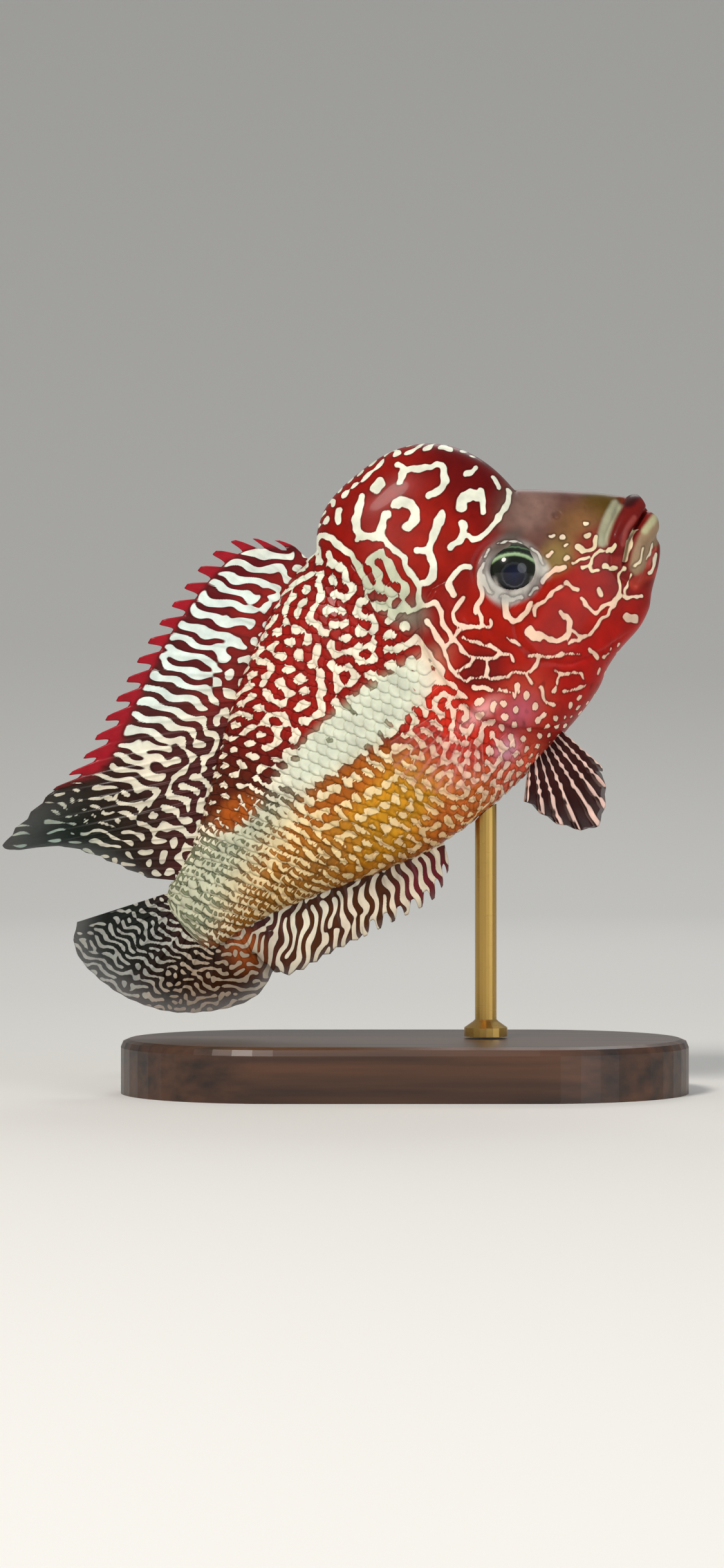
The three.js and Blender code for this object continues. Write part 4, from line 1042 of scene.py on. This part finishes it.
def fin_sheet(name, plan, side_of):
    """A fin closed round its edges, with its places in side view and its shares across and along the rays."""
    rays = plan["spines"] + plan["rays"]
    across = (rays - 1) * plan["columns"]
    share = np.linspace(0, 1, across + 1)
    root, tip = curve_through(plan["root"], share), curve_through(plan["tip"], share)
    phase = (share * (rays - 1)) % 1
    off_ray = 1 - np.abs(2 * phase - 1)  # 0 on a ray, 1 half way to the next
    length = np.linalg.norm(tip - root, axis=1)
    spiny = share * (rays - 1) < plan["spines"] - 0.5
    notch = soft_step(*NOTCH_DROP, phase) * (1 - soft_step(*NOTCH_CLIMB, phase))
    reach = 1 - plan["scallop"] * np.where(spiny, notch, SOFT_SCALLOP * off_ray) / length
    rows = plan["rows"]
    along = np.concatenate([np.linspace(0, 1, rows + 1), np.linspace(1, 0, rows + 1)[1:]])
    u, v = np.meshgrid(share, along, indexing="ij")
    v = v * reach[:, None]
    between = off_ray[:, None] * np.ones_like(v)
    edge_run = np.gradient(tip, axis=0)
    edge_run /= np.linalg.norm(edge_run, axis=1, keepdims=True)
    near_tip = np.clip((v - DROOP_FROM) / (1 - DROOP_FROM), 0, 1)
    droop = plan["droop"] * np.where(spiny, 1, 0)[:, None] * near_tip**2
    x, z = (
        root[:, None, axis] + (tip - root)[:, None, axis] * v + edge_run[:, None, axis] * droop
        for axis in (0, 1)
    )
    ridge = np.exp(-((between / RAY_SPREAD) ** 2))
    thick = plan["half"] * (MEMBRANE + RAY_RIDGE * ridge * (1 - RAY_TAPER * v)) * (1 - FIN_TAPER * v)
    at_edge = np.clip(v / reach[:, None] - ROUND_FROM, 0, 1) / (1 - ROUND_FROM)
    thick = thick * np.sqrt(np.clip(1 - at_edge**2, 0, 1))
    from_end = np.minimum(np.arange(across + 1), np.arange(across, -1, -1)) / END_COLUMNS
    thick = thick * np.sqrt(np.clip(1 - (1 - np.clip(from_end, 0, 1)) ** 2, 0, 1))[:, None]
    facing = np.concatenate([-np.ones(rows), [0], np.ones(rows)])[None, :]
    facing = facing * (np.minimum(along, 1)[None, :] > 0)
    y = side_of(x, u, v) + facing * thick
    thing, places = sheet(name, placed(np.stack([x, y, z], -1)))
    return {"thing": thing, "places": places, "x": x, "z": z, "u": u, "v": v, "between": between}


def lies_upright(x, u, v):
    """How far to its side an upright fin waves."""
    return FIN_WAVE * np.sin(x / 4.1 + 0.6) * v**2


def sweeps(x, u, v):
    """How far to its side the tail is swept, with a wave across its rays."""
    return TAIL_SWEEP * v**2 + TAIL_WAVE * np.sin(u * 15) * v**2


# The fins' marks grow in side view: bars across the outer part of the back fin and nets at its root, dots
# between its soft rays, and worms over tail and anal fin. Each kind is share, spacing, run and spread.
fins_x = np.arange(-20, 64, FIELD_STEP)
fins_z = np.arange(-30, 42, FIELD_STEP)
fin_grid_x, fin_grid_z = np.meshgrid(fins_x, fins_z)
on_dorsal = soft_step(-1, 1, fin_grid_z - 5 - 0.25 * np.abs(fin_grid_x))
soft_dorsal = on_dorsal * (1 - soft_step(-3, 9, fin_grid_x - 0.35 * (fin_grid_z - 20)))
spiny_dorsal = on_dorsal - soft_dorsal
dorsal_point = soft_dorsal * (1 - soft_step(-9, -4, fin_grid_x))
on_tail = (1 - on_dorsal) * (1 - soft_step(3.4, 4.4, fin_grid_x))
on_anal = np.clip(1 - on_dorsal - on_tail, 0, 1)
mid_tail = on_tail * (1 - soft_step(-6, -1, fin_grid_z)) * soft_step(-12, -8, fin_grid_z)
low_tail = on_tail * (1 - soft_step(-12, -8, fin_grid_z))
lean_back = soft_step(12, 36, fin_grid_x)
outer = soft_step(-1.2, 1.6, fin_grid_z - 15.4 - 0.37 * fin_grid_x)
anal_depth = -5.3 - 0.248 * (fin_grid_x - 5.8) - fin_grid_z
anal_outer = on_anal * soft_step(1.6, 3.4, anal_depth - 0.12 * np.clip(14 - fin_grid_x, 0, 20))
anal_front = anal_outer * soft_step(14, 22, fin_grid_x)
fin_kinds = [
    (spiny_dorsal * lean_back * outer, 2.3, 127, 0.35),
    (spiny_dorsal * (1 - lean_back) * outer, 2.05, 129, 0.35),
    (spiny_dorsal * lean_back * (1 - outer), 2.2, None, 1),
    (spiny_dorsal * (1 - lean_back) * (1 - outer), 2.0, None, 1),
    (soft_dorsal - dorsal_point, 1.4, 128, 1.2),
    (dorsal_point, 1.3, 141, 0.35),
    (on_tail - low_tail - mid_tail, 1.15, 104, 1.0),
    (mid_tail, 1.1, 128, 1.1),
    (low_tail, 1.15, 158, 1.0),
    (on_anal - anal_outer, 1.4, 5, 1.0),
    (anal_outer - anal_front, 1.5, 42, 0.6),
    (anal_front, 1.7, 66, 0.5),
]
fin_bias = 0.1 * spiny_dorsal * outer - 0.2 * spiny_dorsal * (1 - outer) - 0.5 * soft_dorsal - 0.2 * on_tail
fin_bias += 0.3 * on_tail * smooth_noise(fin_bias.shape, 1.7, 33) - 0.25 * (on_anal - anal_outer)
fin_bias += 0.12 * smooth_noise(fin_bias.shape, 4.0, 31) + 0.14 * smooth_noise(fin_bias.shape, 2.2, 32)
nothing = np.zeros_like(fin_bias)  # no marks are laid beforehand on the fins
fin_marks = grow_marks(fin_kinds, fin_bias, nothing, nothing, 11)
FIN_GROUND = [
    ("#4e2220", 20, 10, 80, 60, 0.1), ("#2c1e16", -4, 18, 12, 12, 0.5), ("#0e1c14", -10, 19, 9, 9, 0.6),
    ("#181c18", -10, 4, 10, 9, 0.5), ("#22140c", -6, -8, 10, 7, 0.5), ("#3c1e0c", -3, -12, 9, 4, 0.6),
    ("#9a4a1a", 4, -9, 2.6, 3.5, 0.6), ("#50280f", 24, -15, 20, 7, 0.4), ("#341211", 55, -20, 8, 9, 0.4),
    ("#64141a", 38, 30, 14, 9, 0.5), ("#922420", 39, 27, 10, 5.2, 0.5), ("#7c2420", 28, 22.5, 8, 4, 0.6),
    ("#6e1c26", 32, -17.5, 5, 3, 0.6),
]
FIN_CREAM = [
    ("#efe8d2", 20, 10, 80, 60, 0.1), ("#e4f2ea", 25, 32, 22, 8, 0.5), ("#d8d0bc", -4, 16, 12, 12, 0.5),
    ("#8fa498", -11, 20.5, 8, 6, 0.6), ("#a5a69f", -10, 2, 10, 9, 0.5), ("#b09c86", -4, -10, 11, 6, 0.5),
    ("#eadcc4", 24, -18, 18, 5, 0.4), ("#e6c4b8", 56, -20, 8, 9, 0.4),
]
MARK_WAVE = 0.3
RED_MARGIN = "#a01826"
MARGIN_WIDTH = (1.3, 2.2)  # millimetres from the edge over which the red fades
# Thin wet skin, which shows what is behind it where its cover is low and else has the body skin's shine
fin_skin = marked_skin("wet fin skin", 0.34, 0.1, 0.2, clear=True)


def dress_fin(fin, cover, margin=None, pale_rays=None):
    """Writes the fin's markings; margin is its red edge's share, pale_rays marks the rays instead."""
    thing, places = fin["thing"], fin["places"]
    flat_x, flat_z = on_grid(fin["x"], places), on_grid(fin["z"], places)
    waved_x = flat_x + MARK_WAVE * np.sin(1.7 * flat_z)
    waved_z = flat_z + MARK_WAVE * np.sin(1.4 * flat_x + 1)
    cream = look_up(fin_marks, waved_x, waved_z, fins_x[0], fins_z[0])
    if pale_rays is not None:
        cream = 0.35 * cream + on_grid(pale_rays, places)
    ground, mark = tinted(FIN_GROUND, flat_x, flat_z), tinted(FIN_CREAM, flat_x, flat_z)
    if margin is not None:
        share = on_grid(margin, places)
        ground = ground * (1 - share[:, None]) + np.array(linear(RED_MARGIN)) * share[:, None]
        cream = cream * (1 - share) - share
    write_marks(thing, cream, ground, mark, on_grid(cover, places))
    thing.data.materials.append(fin_skin)
    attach(thing, "root")


dorsal = fin_sheet("back_fin", DORSAL, lies_upright)
u, v = dorsal["u"], dorsal["v"]
to_edge = (1 - v) * np.hypot(8.0, 8.0 * np.sin(np.pi * np.clip(u / 0.6, 0, 1)))
crimson = (1 - soft_step(*MARGIN_WIDTH, to_edge)) * (1 - soft_step(0.56, 0.62, u))
dress_fin(dorsal, 1 - 0.35 * soft_step(0.5, 1, v) * soft_step(0.55, 0.7, u), crimson)
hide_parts("dorsal_fin")

anal = fin_sheet("anal_fin_membrane", ANAL, lies_upright)
dress_fin(anal, 1 - 0.3 * soft_step(0.75, 1, anal["v"]))
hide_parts("anal_fin")

tail = fin_sheet("tail_fan", CAUDAL, sweeps)
dress_fin(tail, 1 - 0.4 * soft_step(0.6, 1, tail["v"]))
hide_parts("tail_fin")

PECTORAL_TINT, PECTORAL_SHEEN = "#d98a80", "#f0d0c0"
pectoral_start = flank(np.array(PECTORAL_ROOT[0]), np.array(PECTORAL_ROOT[1])) - PECTORAL_RISE
for side, side_name in ((-1, "right"), (1, "left")):
    def splays(x, u, v):
        return side * (PELVIC_SIDE + PELVIC_SPLAY * v)

    def flares(x, u, v):
        return side * (pectoral_start + PECTORAL_RISE * np.minimum(1, v * 3) + PECTORAL_FLARE * v)

    pelvic = fin_sheet(f"belly_fin_{side_name}", PELVIC, splays)
    between, v = pelvic["between"], pelvic["v"]
    cover = 1 - 0.5 * soft_step(0.3, 1, v) * soft_step(0.15, 0.5, between)
    dress_fin(pelvic, cover, pale_rays=0.8 - 2.4 * between - 0.25 * v)
    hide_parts(f"pelvic_fin_{side_name}")

    pectoral = fin_sheet(f"breast_fin_{side_name}", PECTORAL, flares)
    off_ray = on_grid(pectoral["between"], pectoral["places"])
    near_root = 1.6 - on_grid(pectoral["v"], pectoral["places"])
    write_marks(
        pectoral["thing"], -np.ones(len(off_ray)), np.tile(linear(PECTORAL_TINT), (len(off_ray), 1)),
        np.tile(linear(PECTORAL_SHEEN), (len(off_ray), 1)),
        0.05 + 0.2 * (1 - soft_step(0.1, 0.4, off_ray)) * near_root,
    )
    pectoral["thing"].data.materials.append(fin_skin)
    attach(pectoral["thing"], "root")
    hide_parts(f"pectoral_fin_{side_name}")

# Stand: a slab of dark stained hardwood with eased edges, which carries a brass rod in a turned collar.
# It is a plain display stand, and both pieces are the CAD model's own, with a material each.
# Satin lacquer over open pores gives a soft sheen with long dark streaks of growth
walnut, tree = new_material("stained walnut, satin lacquer")
place = add(tree, "ShaderNodeTexCoord").outputs["Object"]
stretched = add(tree, "ShaderNodeMapping", [("Vector", place), ("Scale", (12.0, 260.0, 260.0))]).outputs[0]
growth = add(tree, "ShaderNodeTexNoise", [
    ("Vector", stretched), ("Scale", 1.6), ("Detail", 6.0),
]).outputs["Fac"]
wood_colour = add(tree, "ShaderNodeValToRGB", [(0, growth)])
wood_colour.color_ramp.elements[0].position = 0.3
wood_colour.color_ramp.elements[0].color = (*linear("#20120b"), 1)
wood_colour.color_ramp.elements[1].position = 0.72
wood_colour.color_ramp.elements[1].color = (*linear("#5a3823"), 1)
pores = add(tree, "ShaderNodeBump", [("Height", growth), ("Strength", 0.12), ("Distance", 0.0002)]).outputs[0]
shader = add(tree, "ShaderNodeBsdfPrincipled", [
    ("Base Color", wood_colour.outputs[0]), ("Roughness", 0.38), ("Normal", pores), ("Coat Weight", 0.15),
    ("Coat Roughness", 0.35),
])
add(tree, "ShaderNodeOutputMaterial", [("Surface", shader.outputs[0])])
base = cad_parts["stand_base"]
base.data.materials.clear()
base.data.materials.append(walnut)

# Brushed round on a lathe, so its shine breaks into fine lines round the rod
brass, tree = new_material("satin brass")
place = add(tree, "ShaderNodeTexCoord").outputs["Object"]
turning = add(tree, "ShaderNodeMapping", [("Vector", place), ("Scale", (200.0, 200.0, 6000.0))]).outputs[0]
lines = add(tree, "ShaderNodeTexNoise", [("Vector", turning), ("Scale", 1.0), ("Detail", 2.0)]).outputs["Fac"]
brushed = add(tree, "ShaderNodeMapRange", [("Value", lines), ("To Min", 0.22), ("To Max", 0.4)]).outputs[0]
shader = add(tree, "ShaderNodeBsdfPrincipled", [
    ("Base Color", (*linear("#c9a45c"), 1)), ("Metallic", 1.0), ("Roughness", brushed),
])
add(tree, "ShaderNodeOutputMaterial", [("Surface", shader.outputs[0])])
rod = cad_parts["stand_rod"]
rod.data.materials.clear()
rod.data.materials.append(brass)
